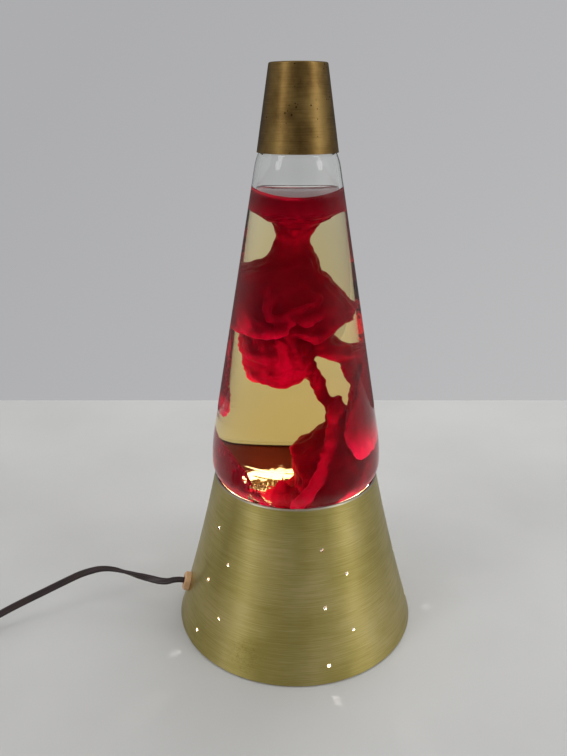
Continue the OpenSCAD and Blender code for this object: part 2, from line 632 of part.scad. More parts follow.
tie_az = 200;
tie_w = 6;
tie_t = 0.5;
tie_gap = 0.1;
module cord_tie() {
    r0 = coil_in_r - cord_t / 2 - 0.4;
    r1 = coil_out_r + cord_t / 2 + 0.4;
    z0 = coil_low_z - cord_w / 2 - tie_gap;
    z1 = coil_high_z + cord_w / 2 + tie_gap;
    color("#1c1c1e") translate([coil_c[0], coil_c[1], 0]) rotate([0, 0, tie_az]) difference() {
        translate([r0 - tie_t, -tie_w / 2, z0 - tie_t]) cube([r1 - r0 + 2 * tie_t, tie_w, z1 - z0 + 2 * tie_t]);
        translate([r0, -tie_w, z0]) cube([r1 - r0, 2 * tie_w, z1 - z0]);
    }
}

// Outline of the switch: a bar with round ends and a fuller middle
switch_end_r = 3;
switch_end_w = 6.8;
function end_arc(sx, sy, a0) = arc([sx * (switch_len / 2 - switch_end_r), sy * switch_end_w / 2], switch_end_r,
    a0, a0 + 80, 4);
function switch_side(x) = 7.6 + (switch_w / 2 - 7.6) * pow(cos(90 * x / 20), 0.8);
switch_outline = concat(
    end_arc(1, 1, 0), [for (x = [20 : -4 : -20]) [x, switch_side(x)]], end_arc(-1, 1, 100),
    end_arc(-1, -1, 180), [for (x = [-20 : 4 : 20]) [x, -switch_side(x)]], end_arc(1, -1, 280));

module in_switch_frame() {
    translate(switch_mid) rotate([0, 0, switch_az]) children();
}

module wheel_space() {
    translate([0, wheel_y, switch_t / 2 - wheel_h / 2 - slot_gap])
        cylinder(r = wheel_r + slot_gap, h = wheel_h + 2 * slot_gap);
}

module switch_half(low) {
    z0 = low ? 0 : switch_t / 2;
    difference() {
        union() {
            translate([0, 0, low ? 0.8 : z0]) linear_extrude(switch_t / 2 - 0.8) polygon(switch_outline);
            translate([0, 0, low ? 0 : switch_t - 0.8]) linear_extrude(0.8)
                polygon([for (p = switch_outline) p * 0.95]);
        }
        wheel_space();
        translate([0, wheel_y, low ? switch_t / 2 - wheel_h / 2 - hub_h - slot_gap
            : switch_t / 2 + wheel_h / 2 + slot_gap - 1]) cylinder(r = hub_r + hub_fit, h = hub_h + 1);
        translate([17, 0, -1]) cylinder(r = 1.5, h = switch_t + 2, $fn = 48);
        translate([17, 0, low ? -1 : switch_t - 1.6]) cylinder(r = 2.8, h = 2.6, $fn = 48);
        for (s = [-1, 1]) translate([-18, s * 3 - 1, switch_t / 2 - 2]) cube([4, 2, 4]);
    }
}

module switch_lower() {
    color("#4a2c1e") in_switch_frame() switch_half(true);
}

module switch_upper() {
    color("#4a2c1e") in_switch_frame() switch_half(false);
}

module switch_wheel() {
    color("#5a3624") in_switch_frame() translate([0, wheel_y, switch_t / 2]) difference() {
        union() {
            translate([0, 0, -wheel_h / 2]) cylinder(r = wheel_r, h = wheel_h);
            translate([0, 0, -wheel_h / 2 - hub_h]) cylinder(r = hub_r, h = wheel_h + 2 * hub_h);
        }
        for (a = [0 : 360 / wheel_notches : 359]) rotate([0, 0, a]) translate([wheel_r + 0.3, 0, -wheel_h])
            cylinder(r = 0.9, h = 2 * wheel_h, $fn = 24);
    }
}

module switch_screw() {
    color("silver") in_switch_frame() translate([17, 0, 0]) difference() {
        rotate_extrude($fn = 48) polygon([[0, 0.3], [2.8, 0.3], [2.8, 1.6], [1.5, 1.6], [1.5, switch_t - 1.6],
            [2.8, switch_t - 1.6], [2.8, switch_t - 0.5], [2.2, switch_t], [0, switch_t]]);
        translate([-3, -0.4, switch_t - 0.6]) cube([6, 0.8, 1]);
    }
}

module switch_contacts() {
    color("#c8a24a") in_switch_frame() for (s = [-1, 1]) translate([-18, s * 3 - 1, switch_t / 2 - 2]) cube([4, 2, 4]);
}

module in_plug_frame() {
    translate(plug_from) children();
}

module plug_body() {
    w = plug_w / 2;
    t = plug_t / 2;
    color("#3a241c") in_plug_frame() difference() {
        union() {
            intersection() {
                translate([collar_len, 0, -t]) linear_extrude(plug_t) polygon([[0, -w * 0.62], [4, -w * 0.9],
                    [plug_len - 3, -w], [plug_len, -w + 1.5], [plug_len, w - 1.5], [plug_len - 3, w],
                    [4, w * 0.9], [0, w * 0.62]]);
                translate([collar_len, w, 0]) rotate([90, 0, 0]) linear_extrude(plug_w) polygon([[0, -t * 0.6],
                    [5, -t * 0.95], [plug_len - 2, -t], [plug_len, -t + 1.2], [plug_len, t - 1.2],
                    [plug_len - 2, t], [5, t * 0.95], [0, t * 0.6]]);
            }
            rotate([0, 90, 0]) rotate_extrude() polygon([[0, 0], [collar_r - 1.2, 0], [collar_r - 0.8, 2.4],
                [collar_r - 1.4, 3], [collar_r - 0.6, 5.4], [collar_r - 1.2, 6], [collar_r - 0.2, 8.6],
                [collar_r - 0.8, 9.2], [collar_r + 0.6, collar_len + 1], [0, collar_len + 1]]);
        }
        blade_pair(collar_len + plug_len - 8);
    }
}

module blade_pair(x) {
    for (s = [-1, 1]) translate([x, s * blade_gap / 2 - blade_t / 2, -blade_w / 2]) cube([8, blade_t, blade_w]);
}

module plug_blades() {
    x = collar_len + plug_len - 8;
    color("#c8b06a") in_plug_frame() for (s = [-1, 1]) difference() {
        translate([x, s * blade_gap / 2 - blade_t / 2, -blade_w / 2]) cube([8 + blade_len, blade_t, blade_w]);
        translate([x + 8 + blade_len - 4, s * blade_gap / 2 + 2, 0]) rotate([90, 0, 0])
            cylinder(r = 1.6, h = 4, $fn = 32);
    }
}

base_shell();
bottom_plate();
plate_screws();
strain_relief();
socket_body();
socket_shell();
socket_contact();
socket_screws();
terminal_plates();
terminal_screws();
inner_leads();
bulb_envelope();
bulb_cap();
bulb_insulator();
bulb_contact();
bulb_stem();
bulb_supports();
bulb_filament();
globe_glass();
liquid();
wax();
heating_coil();
crown_liner();
crown_cap();
top_cap();
cord_run();
cord_coil();
cord_tie();
switch_lower();
switch_upper();
switch_wheel();
switch_screw();
switch_contacts();
plug_body();
plug_blades();
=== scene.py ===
"""Looks of the liquid motion lamp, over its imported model.

Metres, +Z up, origin on the table at the centre of the base, -Y towards the camera. Lengths in the tables of
points and in the mesh helpers are mm, and mesh_piece turns them into metres.
"""
import json
import math

import bpy
import numpy as np
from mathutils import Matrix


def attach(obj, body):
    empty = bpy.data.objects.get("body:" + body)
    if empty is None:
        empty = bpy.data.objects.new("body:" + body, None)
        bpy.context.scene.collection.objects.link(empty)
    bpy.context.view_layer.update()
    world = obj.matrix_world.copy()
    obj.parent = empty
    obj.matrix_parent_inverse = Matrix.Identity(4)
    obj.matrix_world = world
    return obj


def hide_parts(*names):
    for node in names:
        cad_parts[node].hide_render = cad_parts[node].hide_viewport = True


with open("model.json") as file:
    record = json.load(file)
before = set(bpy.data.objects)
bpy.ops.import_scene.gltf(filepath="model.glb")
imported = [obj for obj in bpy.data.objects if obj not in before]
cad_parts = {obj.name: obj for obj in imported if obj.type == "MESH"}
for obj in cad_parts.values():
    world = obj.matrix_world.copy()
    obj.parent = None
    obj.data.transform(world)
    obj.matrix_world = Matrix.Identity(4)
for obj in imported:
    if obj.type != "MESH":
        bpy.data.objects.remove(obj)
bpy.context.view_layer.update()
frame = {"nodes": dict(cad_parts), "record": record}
nodes = frame["nodes"]
scene = bpy.context.scene
MM = 0.001


def unit(v):
    return v / np.maximum(np.linalg.norm(v, axis=-1, keepdims=True), 1e-9)


# Camera on the lamp's front side, a little above its cap, looking down
camera_data = bpy.data.cameras.new("camera")
camera_data.sensor_width = 36
camera_data.lens = 34.28
camera = bpy.data.objects.new("camera", camera_data)
camera.location = (-0.009135, -0.4846, 0.3842)
camera.rotation_euler = (math.radians(68.883), 0, 0)
scene.collection.objects.link(camera)
scene.camera = camera


# Mesh helpers
def mesh_piece(name, points, faces, material, body=None):
    """A smooth-shaded mesh from points in mm, riding on a body."""
    mesh = bpy.data.meshes.new(name)
    mesh.from_pydata((np.asarray(points, float) * MM).tolist(), [], faces)
    mesh.update()
    mesh.validate()
    mesh.polygons.foreach_set("use_smooth", [True] * len(mesh.polygons))
    mesh.materials.append(material)
    piece = bpy.data.objects.new(name, mesh)
    scene.collection.objects.link(piece)
    if body:
        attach(piece, body)
    return piece


def grid_faces(rows, columns):
    """Quads between rings of points, ring after ring, with a face over each end."""
    quads = [(i * columns + j, i * columns + (j + 1) % columns, (i + 1) * columns + (j + 1) % columns,
              (i + 1) * columns + j) for i in range(rows - 1) for j in range(columns)]
    return [*quads, tuple(range(columns))[::-1], tuple(range((rows - 1) * columns, rows * columns))]


def flow(rows, step):
    """Catmull-Rom curve through the rows, a point every step mm; columns past the third follow along."""
    rows = np.asarray(rows, float)
    padded = np.vstack([2 * rows[0] - rows[1], rows, 2 * rows[-1] - rows[-2]])
    out = []
    for a, b, c, d in zip(padded, padded[1:], padded[2:], padded[3:]):
        count = max(1, round(np.linalg.norm(c[:3] - b[:3]) / step))
        for t in np.arange(count) / count:
            out.append(0.5 * (2 * b + (c - a) * t + (2 * a - 5 * b + 4 * c - d) * t * t
                              + (3 * b - a - 3 * c + d) * t ** 3))
    return np.vstack([out, rows[-1]])


def swept(path, section):
    """Rings of a section carried along a path; the path's fourth column rolls the section, in degrees."""
    points = path[:, :3]
    along = unit(np.gradient(points, axis=0))
    side = unit(np.cross(along, (0, 0, 1)))
    up = np.cross(side, along)
    roll = np.radians(path[:, 3:4])
    across = side * np.cos(roll) + up * np.sin(roll)
    deep = up * np.cos(roll) - side * np.sin(roll)
    rings = points[:, None] + across[:, None] * section[:, 0, None] + deep[:, None] * section[:, 1, None]
    return rings.reshape(-1, 3), grid_faces(len(path), len(section))


def spun(profile, sides):
    """Rings of a profile of radius and height turned about the lamp's axis."""
    profile = np.asarray(profile, float)
    turn = 2 * math.pi * np.arange(sides) / sides
    rings = np.stack([profile[:, 0, None] * np.cos(turn), profile[:, 0, None] * np.sin(turn),
                      np.repeat(profile[:, 1, None], sides, 1)], -1)
    return rings.reshape(-1, 3)


# Two-wire flat cord, out of the bushing to the line switch. Rows are a point and the cord's roll in degrees.
CORD_W, CORD_T, CORD_STEP = 5.5, 2.9, 1.6
run_rows = [
    (-87.2, -9.9, 29.1, 0), (-91.4, -10.4, 30.1, 0), (-96.4, -10.8, 29.9, 5), (-101, -11, 28.8, 15),
    (-107, -9.6, 28.1, 35), (-113.2, -7.2, 27.9, 54), (-119.5, -5.2, 28.2, 75), (-125.9, -3.7, 28.9, 100),
    (-132.3, -2, 29.8, 125), (-138.8, -0.4, 30.6, 145), (-145, 1, 31.2, 162), (-151.4, 1.7, 31.5, 178),
    (-157.5, 1.4, 31.4, 194), (-163.4, 0.2, 30.7, 210), (-169.2, -1.8, 29.9, 222), (-175, -4.4, 28.8, 230),
    (-186, -9.8, 25.8, 234), (-196.9, -15.2, 22.7, 234), (-207.8, -20.5, 19.6, 234),
    (-218.2, -25.8, 16.6, 232), (-226.6, -30.5, 14.1, 226), (-235, -35.4, 11.5, 214),
    (-243.6, -40.6, 9.3, 198), (-251, -45, 8, 184), (-257.9, -49, 7.5, 180)]

# From the switch to the plug: wound inwards on a lower layer, then outwards again on an upper one
SWITCH_FROM, SWITCH_LONG, SWITCH_Z = (-258, -49, 0), 60, 7.5
LEAD, TAIL, TAIL_DROP = 34, 32, 0.2
OUT_R, PITCH, TURNS, CLIMB, LOW_Z, HIGH_Z = 37.5, 3.4, 3.5407, 0.5, 3.4, 9.4
IN_R, ALL_TURNS = OUT_R - PITCH * TURNS, 2 * TURNS + CLIMB
switch_turn = math.radians(210)
heading = np.array([math.cos(switch_turn), math.sin(switch_turn), 0])
inward = np.array([math.sin(switch_turn), -math.cos(switch_turn), 0])
switch_to = np.array(SWITCH_FROM) + heading * SWITCH_LONG
coil_centre = switch_to + heading * LEAD + inward * OUT_R
coil_start = math.atan2(-inward[1], -inward[0])


def coil_place(n):
    """Where the wound cord is after n turns."""
    radius = IN_R - PITCH * CLIMB / 2 + PITCH * abs(n - TURNS - CLIMB / 2)
    turn = coil_start - 2 * math.pi * n
    return coil_centre + radius * np.array([math.cos(turn), math.sin(turn), 0])


coil_rows = []
for s in np.arange(8) / 8:
    ease = (1 - math.cos(math.pi * s)) / 2
    at = switch_to + heading * LEAD * s
    coil_rows.append((at[0], at[1], SWITCH_Z + (LOW_Z - SWITCH_Z) * ease, 90 * ease))
for n in np.arange(int(ALL_TURNS * 24) + 1) / 24:
    at = coil_place(n)
    coil_rows.append((at[0], at[1], LOW_Z + (HIGH_Z - LOW_Z) * min(1, max(0, (n - TURNS) / CLIMB)), 90))
coil_exit = coil_place(ALL_TURNS)
for s in np.arange(1, 9) / 8:
    roll = 90 - 45 * (1 - math.cos(math.pi * s))
    coil_rows.append((coil_exit[0] + TAIL * s, coil_exit[1], HIGH_Z - TAIL_DROP * s, roll))

# Section of two round conductors' vinyl joined by a web
wire_x, wire_r = (CORD_W - CORD_T) / 2, CORD_T / 2
bead = np.radians(np.linspace(-125, 125, 9))
half_section = np.stack([wire_x + wire_r * np.cos(bead), wire_r * np.sin(bead)], 1)
cord_section = np.vstack([half_section, -half_section])


def cord_piece(name, rows):
    """The cord along rows, with the line that it follows and its length in metres."""
    path = flow(rows, CORD_STEP)
    points, faces = swept(path, cord_section)
    piece = mesh_piece(name, points, faces, cord_vinyl, "base")
    length = float(np.linalg.norm(np.diff(path[:, :3], axis=0), axis=1).sum()) * MM
    return piece, path[:, :3] * MM, length


# Materials
def colour(code):
    """Linear RGBA of an sRGB hex colour."""
    parts = [int(code[i:i + 2], 16) / 255 for i in (1, 3, 5)]
    return (*[p / 12.92 if p <= 0.04045 else ((p + 0.055) / 1.055) ** 2.4 for p in parts], 1)


def new_material(name):
    material = bpy.data.materials.new(name)
    material.use_nodes = True
    material.node_tree.nodes.clear()
    return material, material.node_tree


def add(tree, kind, *values, output=0, stops=(), **settings):
    """Adds a node with its settings and links, and returns one of its outputs.

    Values go to its sockets in order, or one dict names them. Each is a number, a vector, an sRGB hex colour
    or another node's output. The stops of a colour ramp are places and hex colours.
    """
    made = tree.nodes.new("ShaderNode" + kind)
    for name, value in settings.items():
        setattr(made, name, value)
    named = values and isinstance(values[0], dict)
    for key, value in (values[0] if named else dict(enumerate(values))).items():
        if isinstance(value, bpy.types.NodeSocket):
            tree.links.new(value, made.inputs[key])
        else:
            made.inputs[key].default_value = colour(value) if isinstance(value, str) else value
    if stops:
        ramp = made.color_ramp.elements
        while len(ramp) < len(stops):
            ramp.new(0.5)
        for element, (place, code) in zip(ramp, stops):
            element.position, element.color = place, colour(code)
    return made.outputs[output] if made.outputs else None


def drawn_noise(tree, place, scale, detail=2, **sockets):
    """Noise drawn out into lines by a different scale along each axis."""
    place = add(tree, "VectorMath", place, scale, operation="MULTIPLY")
    return add(tree, "TexNoise", {"Vector": place, "Scale": 1, "Detail": detail, **sockets})


def spots(tree, place, scale, size):
    """1 in round spots, one to a cell, of a size in cells."""
    away = add(tree, "TexVoronoi", {"Vector": place, "Scale": scale}, output="Distance")
    return add(tree, "Math", away, size, operation="LESS_THAN")


def facing_out(tree, place, start, end):
    """1 on faces turned away from the lamp's axis, 0 on faces turned to it, changing from start to end."""
    flat = add(tree, "VectorMath", place, (1, 1, 0), operation="MULTIPLY")
    away = add(tree, "VectorMath", flat, operation="NORMALIZE")
    normal = add(tree, "NewGeometry", output="Normal")
    turned = add(tree, "VectorMath", away, normal, operation="DOT_PRODUCT", output="Value")
    return add(tree, "MapRange", turned, start, end)


def plastic(name, base, dark, rough, grain, depth, **extra):
    """Moulded or extruded plastic: slight mottling and a fine grain, of a size and depth in mm."""
    material, tree = new_material(name)
    place = add(tree, "TexCoord", output="Object")
    cloud = add(tree, "TexNoise", {"Vector": place, "Scale": 90, "Detail": 3})
    fine = add(tree, "TexNoise", {"Vector": place, "Scale": 1000 / grain, "Detail": 2})
    tint = add(tree, "ValToRGB", cloud, stops=((0.3, dark), (0.7, base)))
    gloss = add(tree, "MapRange", cloud, 0, 1, rough - 0.06, rough + 0.08)
    bump = add(tree, "Bump", {"Height": fine, "Strength": 0.5, "Distance": depth * MM})
    add(tree, "OutputMaterial", add(tree, "BsdfPrincipled", {
        "Base Color": tint, "Roughness": gloss, "Normal": bump, "IOR": 1.5, **extra}))
    return material


def metal(name, light, dark, rough, scratch):
    """Plated or stamped sheet metal: cloudy tarnish and fine scratches spaced by scratch mm."""
    material, tree = new_material(name)
    place = add(tree, "TexCoord", output="Object")
    cloud = add(tree, "TexNoise", {"Vector": place, "Scale": 60, "Detail": 4})
    turned = add(tree, "Mapping", {"Vector": place, "Rotation": (0.3, 0.2, 0.6),
                                   "Scale": (1000 / scratch, 40, 1000 / scratch)})
    scratches = add(tree, "TexNoise", {"Vector": turned, "Scale": 1, "Detail": 2})
    tint = add(tree, "ValToRGB", cloud, stops=((0.3, dark), (0.65, light)))
    gloss = add(tree, "MapRange", scratches, 0.3, 0.7, rough - 0.08, rough + 0.1)
    bump = add(tree, "Bump", {"Height": scratches, "Strength": 0.3, "Distance": 0.01 * MM})
    add(tree, "OutputMaterial", add(tree, "BsdfPrincipled", {
        "Base Color": tint, "Roughness": gloss, "Normal": bump, "Metallic": 1}))
    return material


# Gold anodised aluminium, spun and brushed round the axis: a yellow-green metal whose brush lines
# stretch each reflection into a tall soft band. Lines are 0.4 mm apart, as coarse as they need to show.
base_metal, tree = new_material("gold_anodised_brushed_aluminium")
place = add(tree, "TexCoord", output="Object")
right, back, height = [add(tree, "SeparateXYZ", place, output=axis) for axis in "XYZ"]
outside = facing_out(tree, place, 0.02, 0.2)
brush = drawn_noise(tree, place, (45, 45, 2500), 3, Roughness=0.6)
wide = drawn_noise(tree, place, (30, 30, 500))
cloud = add(tree, "TexNoise", {"Vector": place, "Scale": 22, "Detail": 3})
mixed = add(tree, "Math", brush, cloud, operation="ADD")
mixed = add(tree, "Math", mixed, 0.5, operation="MULTIPLY")
skin = add(tree, "ValToRGB", mixed, stops=((0.36, "#9d8f4c"), (0.5, "#b0a160"), (0.64, "#c2b27a")))

# Dark specks in a few places, and the top of the rolled rim worn to bare metal
RIM_WORN = (0.1228, 0.1238)
few = add(tree, "TexNoise", {"Vector": place, "Scale": 70, "Detail": 1})
specks = spots(tree, place, 110, add(tree, "MapRange", few, 0.62, 0.8, 0, 0.12))
worn = add(tree, "MapRange", height, *RIM_WORN)
for share, tint in ((specks, "#3c3018"), (worn, "#b4b0a2")):
    skin = add(tree, "Mix", {0: share, 6: skin, 7: tint}, data_type="RGBA", output=2)

# Inside, seen through the globe's heel and the light holes, in zones with ragged edges, most of them painted
# light
# and shade: cream round the bulb, a painted pool of its light; brown; a dark band; near-white, a painted
# highlight of the bulb's light on bare metal; and black under the rim, painted shade. In front it is dark
# red, painted light that stands for the bulb's light coming through the wax. Each change starts at one height
# and ends at another.
BULB_POOL_PAINT, DARK_BAND_LOW, DARK_BAND_HIGH, RIM_SHADE_PAINT = (0.08, 0.077), (0.0905, 0.092), (0.1018, 0.1028), (0.1065, 0.1085)
ragged = add(tree, "TexNoise", {"Vector": place, "Scale": 300, "Detail": 3})
level = add(tree, "Math", ragged, 0.006, height, operation="MULTIPLY_ADD")
lean = add(tree, "Math", right, 0.007, operation="ADD")
lean = add(tree, "Math", lean, 0, operation="MINIMUM")
low_line = add(tree, "Math", lean, 1.3, level, operation="MULTIPLY_ADD")
high_line = add(tree, "Math", right, 0.156, level, operation="MULTIPLY_ADD")
over_low = add(tree, "MapRange", low_line, *DARK_BAND_LOW)
under_high = add(tree, "MapRange", high_line, *DARK_BAND_HIGH, 1, 0)
in_dark_band = add(tree, "Math", over_low, under_high, operation="MULTIPLY")
dark_band_tone = add(tree, "ValToRGB", ragged, stops=((0.35, "#140b07"), (0.65, "#2c1e14")))
front = add(tree, "MapRange", back, 0, -0.015)
painted_bulb_pool = add(tree, "MapRange", level, *BULB_POOL_PAINT)
painted_rim_shade = add(tree, "MapRange", level, *RIM_SHADE_PAINT)
inner = add(tree, "ValToRGB", mixed, stops=((0.3, "#62523a"), (0.7, "#7c6a4c")))
# Laid on in turn: the painted highlight, the dark band, the painted light in front, the painted pool of light
# low round the bulb and the painted shade under the rim
for share, tint in ((over_low, "#f2f4fc"), (in_dark_band, dark_band_tone), (front, "#54100c"), (painted_bulb_pool, "#f0e6cc"),
                    (painted_rim_shade, "#180503")):
    inner = add(tree, "Mix", {0: share, 6: inner, 7: tint}, data_type="RGBA", output=2)
skin = add(tree, "Mix", {0: outside, 6: inner, 7: skin}, data_type="RGBA", output=2)

# A scuffed dent, low at the front left
DENT_AT = (-0.0365, -0.0805, 0.0165)
away = add(tree, "VectorMath", place, DENT_AT, operation="DISTANCE", output="Value")
dent = add(tree, "MapRange", away, 0.003, 0.017, 1, 0)
creases = drawn_noise(tree, place, (300, 300, 600), 3, Distortion=1.5)
scuff = add(tree, "MapRange", creases, 0.5, 0.66, 0, 0.5)
scuff = add(tree, "Math", scuff, dent, operation="MULTIPLY")
skin = add(tree, "Mix", {0: scuff, 6: skin, 7: "#685628"}, data_type="RGBA", output=2)

creased = add(tree, "Math", dent, creases, operation="MULTIPLY")
brushed = add(tree, "Math", brush, wide, operation="ADD")
brushed = add(tree, "Math", creased, 14, brushed, operation="MULTIPLY_ADD")
bump = add(tree, "Bump", {"Height": brushed, "Strength": 0.35, "Distance": 0.03 * MM})
gloss = add(tree, "MapRange", wide, 0.3, 0.7, 0.33, 0.45)
gloss = add(tree, "Mix", {0: outside, 2: 0.6, 3: gloss})
tangent = add(tree, "Tangent", direction_type="RADIAL", axis="Z")
add(tree, "OutputMaterial", add(tree, "BsdfPrincipled", {
    "Base Color": skin, "Metallic": outside, "Roughness": gloss, "Specular IOR Level": 0, "Normal": bump,
    "Anisotropic": 0.75, "Anisotropic Rotation": 0.25, "Tangent": tangent}))

# Brown anodised aluminium, spun: darker brass brown with fine dark pits, and a worn top edge painted pale as
# a highlight
cap_metal, tree = new_material("brown_anodised_spun_aluminium")
place = add(tree, "TexCoord", output="Object")
outside = facing_out(tree, place, -0.3, -0.1)
brush = drawn_noise(tree, place, (60, 60, 1800), 3)
cloud = add(tree, "TexNoise", {"Vector": place, "Scale": 45, "Detail": 5, "Roughness": 0.6})
mixed = add(tree, "Math", brush, 0.35, cloud, operation="MULTIPLY_ADD")
skin = add(tree, "ValToRGB", mixed, stops=((0.5, "#624b2a"), (0.66, "#7d6338"), (0.82, "#907646")))
few = add(tree, "TexNoise", {"Vector": place, "Scale": 120, "Detail": 2})
pits = spots(tree, place, 420, add(tree, "MapRange", few, 0.5, 0.75, 0, 0.3))
skin = add(tree, "Mix", {0: pits, 6: skin, 7: "#2c2010"}, data_type="RGBA", output=2)
# Faces turned to the axis are pale: a painted highlight along the worn top edge
skin = add(tree, "Mix", {0: outside, 6: "#b8ab88", 7: skin}, data_type="RGBA", output=2)
bump = add(tree, "Bump", {"Height": mixed, "Strength": 0.3, "Distance": 0.03 * MM})
gloss = add(tree, "MapRange", cloud, 0.3, 0.7, 0.36, 0.5)
tangent = add(tree, "Tangent", direction_type="RADIAL", axis="Z")
add(tree, "OutputMaterial", add(tree, "BsdfPrincipled", {
    "Base Color": skin, "Metallic": 1, "Roughness": gloss, "Normal": bump, "Anisotropic": 0.6,
    "Anisotropic Rotation": 0.25, "Tangent": tangent}))

# Heights between which the globe's glass goes from wetted to dry
WET_UP_TO, DRY_FROM = 0.326, 0.334


def clear(name, tint, ior, shine, absorb=None, dry_shine=None):
    """Clear solid that lets the lamps' light through to what is inside it.

    A shine of 1 is a bare surface in air. Glass against liquid has hardly any, and dry_shine is what it has
    above the liquid.
    """
    material, tree = new_material(name)
    shines = (shine, shine, shine, 1)
    if dry_shine:
        height = add(tree, "SeparateXYZ", add(tree, "TexCoord", output="Object"), output="Z")
        shines = add(tree, "MapRange", height, WET_UP_TO, DRY_FROM, shine, dry_shine)
    solid = add(tree, "BsdfPrincipled", {"Base Color": tint, "Roughness": 0, "IOR": ior,
                                         "Specular Tint": shines, "Transmission Weight": 1})
    shadow = add(tree, "LightPath", output="Is Shadow Ray")
    ends = {"Surface": add(tree, "MixShader", shadow, solid, add(tree, "BsdfTransparent"))}
    if absorb:
        ends["Volume"] = add(tree, "VolumeAbsorption", {"Color": (*absorb[0], 1), "Density": absorb[1]})
    add(tree, "OutputMaterial", ends)
    return material


# Soda-lime glass, blown: clear, water-white
globe_glass = clear("clear_blown_glass", "#fbfdfb", 1.5, 0.03, dry_shine=1)
bulb_glass = clear("thin_bulb_glass", "#fffaf0", 1.5, 1)
# Dyed water and glycol: yellow olive through the globe's whole width, nearly clear in a thin layer
amber_liquid = clear("yellow_dyed_liquid", "#ffffff", 1.35, 0, absorb=((0.947, 0.74, 0.12), 15))

# Dyed paraffin: dark red under room light, with streaks where it was drawn out. Its glow is painted light: an
# emission of purer red that stands for the bulb's light soaking through it.
red_wax, tree = new_material("dyed_red_wax")
place = add(tree, "TexCoord", output="Object")
cloud = add(tree, "TexNoise", {"Vector": place, "Scale": 140, "Detail": 4})
streaks = drawn_noise(tree, place, (320, 320, 16), 3)
soaked = add(tree, "Attribute", attribute_name="glow", output="Fac")
for pattern, low, high in ((cloud, 0.8, 1.15), (streaks, 0.86, 1.14)):
    share = add(tree, "MapRange", pattern, 0.3, 0.7, low, high)
    soaked = add(tree, "Math", soaked, share, operation="MULTIPLY")
shine = add(tree, "ValToRGB", soaked, stops=(
    (0, "#3c0005"), (0.15, "#60000c"), (0.35, "#a0021e"), (0.6, "#cc0030"), (0.85, "#f00a3e")))
skin = add(tree, "ValToRGB", cloud, stops=((0.3, "#4a0006"), (0.7, "#62020c")))
add(tree, "OutputMaterial", add(tree, "BsdfPrincipled", {
    "Base Color": skin, "Roughness": 0.4, "IOR": 1.44, "Specular IOR Level": 0.02, "Emission Color": shine,
    "Emission Strength": 1}))

# Tungsten, drawn: white hot
filament_metal, tree = new_material("glowing_tungsten")
grain = add(tree, "TexNoise", {"Vector": add(tree, "TexCoord", output="Object"), "Scale": 900, "Detail": 2})
heat = add(tree, "MapRange", grain, 0, 1, 30, 60)
add(tree, "OutputMaterial", add(tree, "BsdfPrincipled", {
    "Base Color": "#8a8378", "Metallic": 1, "Roughness": 0.4, "Emission Color": "#ffd9a0",
    "Emission Strength": heat}))

# Nylon lets a little light in, which softens the bushing; the other plastics differ in gloss and grain
tan_nylon = plastic("moulded_tan_nylon", "#dcb48a", "#c89c70", 0.45, 0.6, 0.02, **{
    "Subsurface Weight": 0.15, "Subsurface Radius": (1, 0.6, 0.3), "Subsurface Scale": 0.002})
cord_vinyl = plastic("extruded_brown_vinyl", "#2e1d1c", "#221414", 0.42, 0.8, 0.02)
phenolic = plastic("moulded_brown_phenolic", "#3e2c23", "#2c1d16", 0.4, 0.5, 0.01)
switch_plastic = plastic("moulded_brown_thermoplastic", "#4e2f20", "#3e2418", 0.3, 0.5, 0.01)
wheel_plastic = plastic("moulded_light_brown_thermoplastic", "#62402b", "#523220", 0.33, 0.5, 0.01)
plug_vinyl = plastic("moulded_brown_vinyl", "#3a251d", "#2c1a14", 0.38, 0.7, 0.015)
tie_plastic = plastic("extruded_black_polyethylene", "#1f1f21", "#161617", 0.4, 0.6, 0.01)
liner = plastic("soft_moulded_liner", "#d8cfb8", "#c4b99e", 0.6, 0.6, 0.01)
vitrite = plastic("black_glassy_insulator", "#1b1b20", "#101014", 0.12, 1.5, 0.01)
# Paint pulls into a fine orange peel over the plate
plate_paint = plastic("satin_black_painted_steel", "#2b2c2f", "#202123", 0.45, 0.5, 0.02)

# Small metals: zinc is cool and cloudy, brass warm and bright, solder dull, lacquered tinplate gold
zinc = metal("zinc_plated_steel", "#c9cbcc", "#a9abad", 0.3, 0.3)
brass = metal("stamped_brass", "#d3ad57", "#b08a3c", 0.28, 0.3)
bulb_aluminium = metal("rolled_aluminium", "#d0d0cb", "#aeaea9", 0.3, 0.3)
solder = metal("dull_solder", "#b9b5a8", "#96928a", 0.5, 0.6)
wire = metal("drawn_steel_wire", "#a8a8a4", "#8e8e8b", 0.35, 0.2)
tinplate = metal("gold_lacquered_tinplate", "#c9b268", "#a8914a", 0.3, 0.3)

slot_materials = {
    "gold_anodised": base_metal, "black_steel": plate_paint, "zinc_steel": zinc, "tan_nylon": tan_nylon,
    "phenolic": phenolic, "brass": brass, "cord_vinyl": cord_vinyl, "bulb_glass": bulb_glass,
    "bulb_aluminium": bulb_aluminium, "vitrite": vitrite, "solder": solder, "support_wire": wire,
    "tungsten": filament_metal, "globe_glass": globe_glass, "amber_liquid": amber_liquid, "red_wax": red_wax,
    "coil_steel": wire, "liner_plastisol": liner, "tinplate": tinplate, "brown_anodised": cap_metal,
    "black_polyethylene": tie_plastic, "brown_thermoplastic": switch_plastic,
    "wheel_thermoplastic": wheel_plastic, "plug_vinyl": plug_vinyl}
for part in frame["record"]["subparts"]:
    piece = nodes[part["node"]]
    piece.data.materials.clear()
    piece.data.materials.append(slot_materials[part["material_slot"]])

# Cord pieces
run, run_path, run_length = cord_piece("cord_to_switch", run_rows)
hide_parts("cord_run")
coil, coil_path, coil_length = cord_piece("cord_to_plug", coil_rows)
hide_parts("cord_coil")


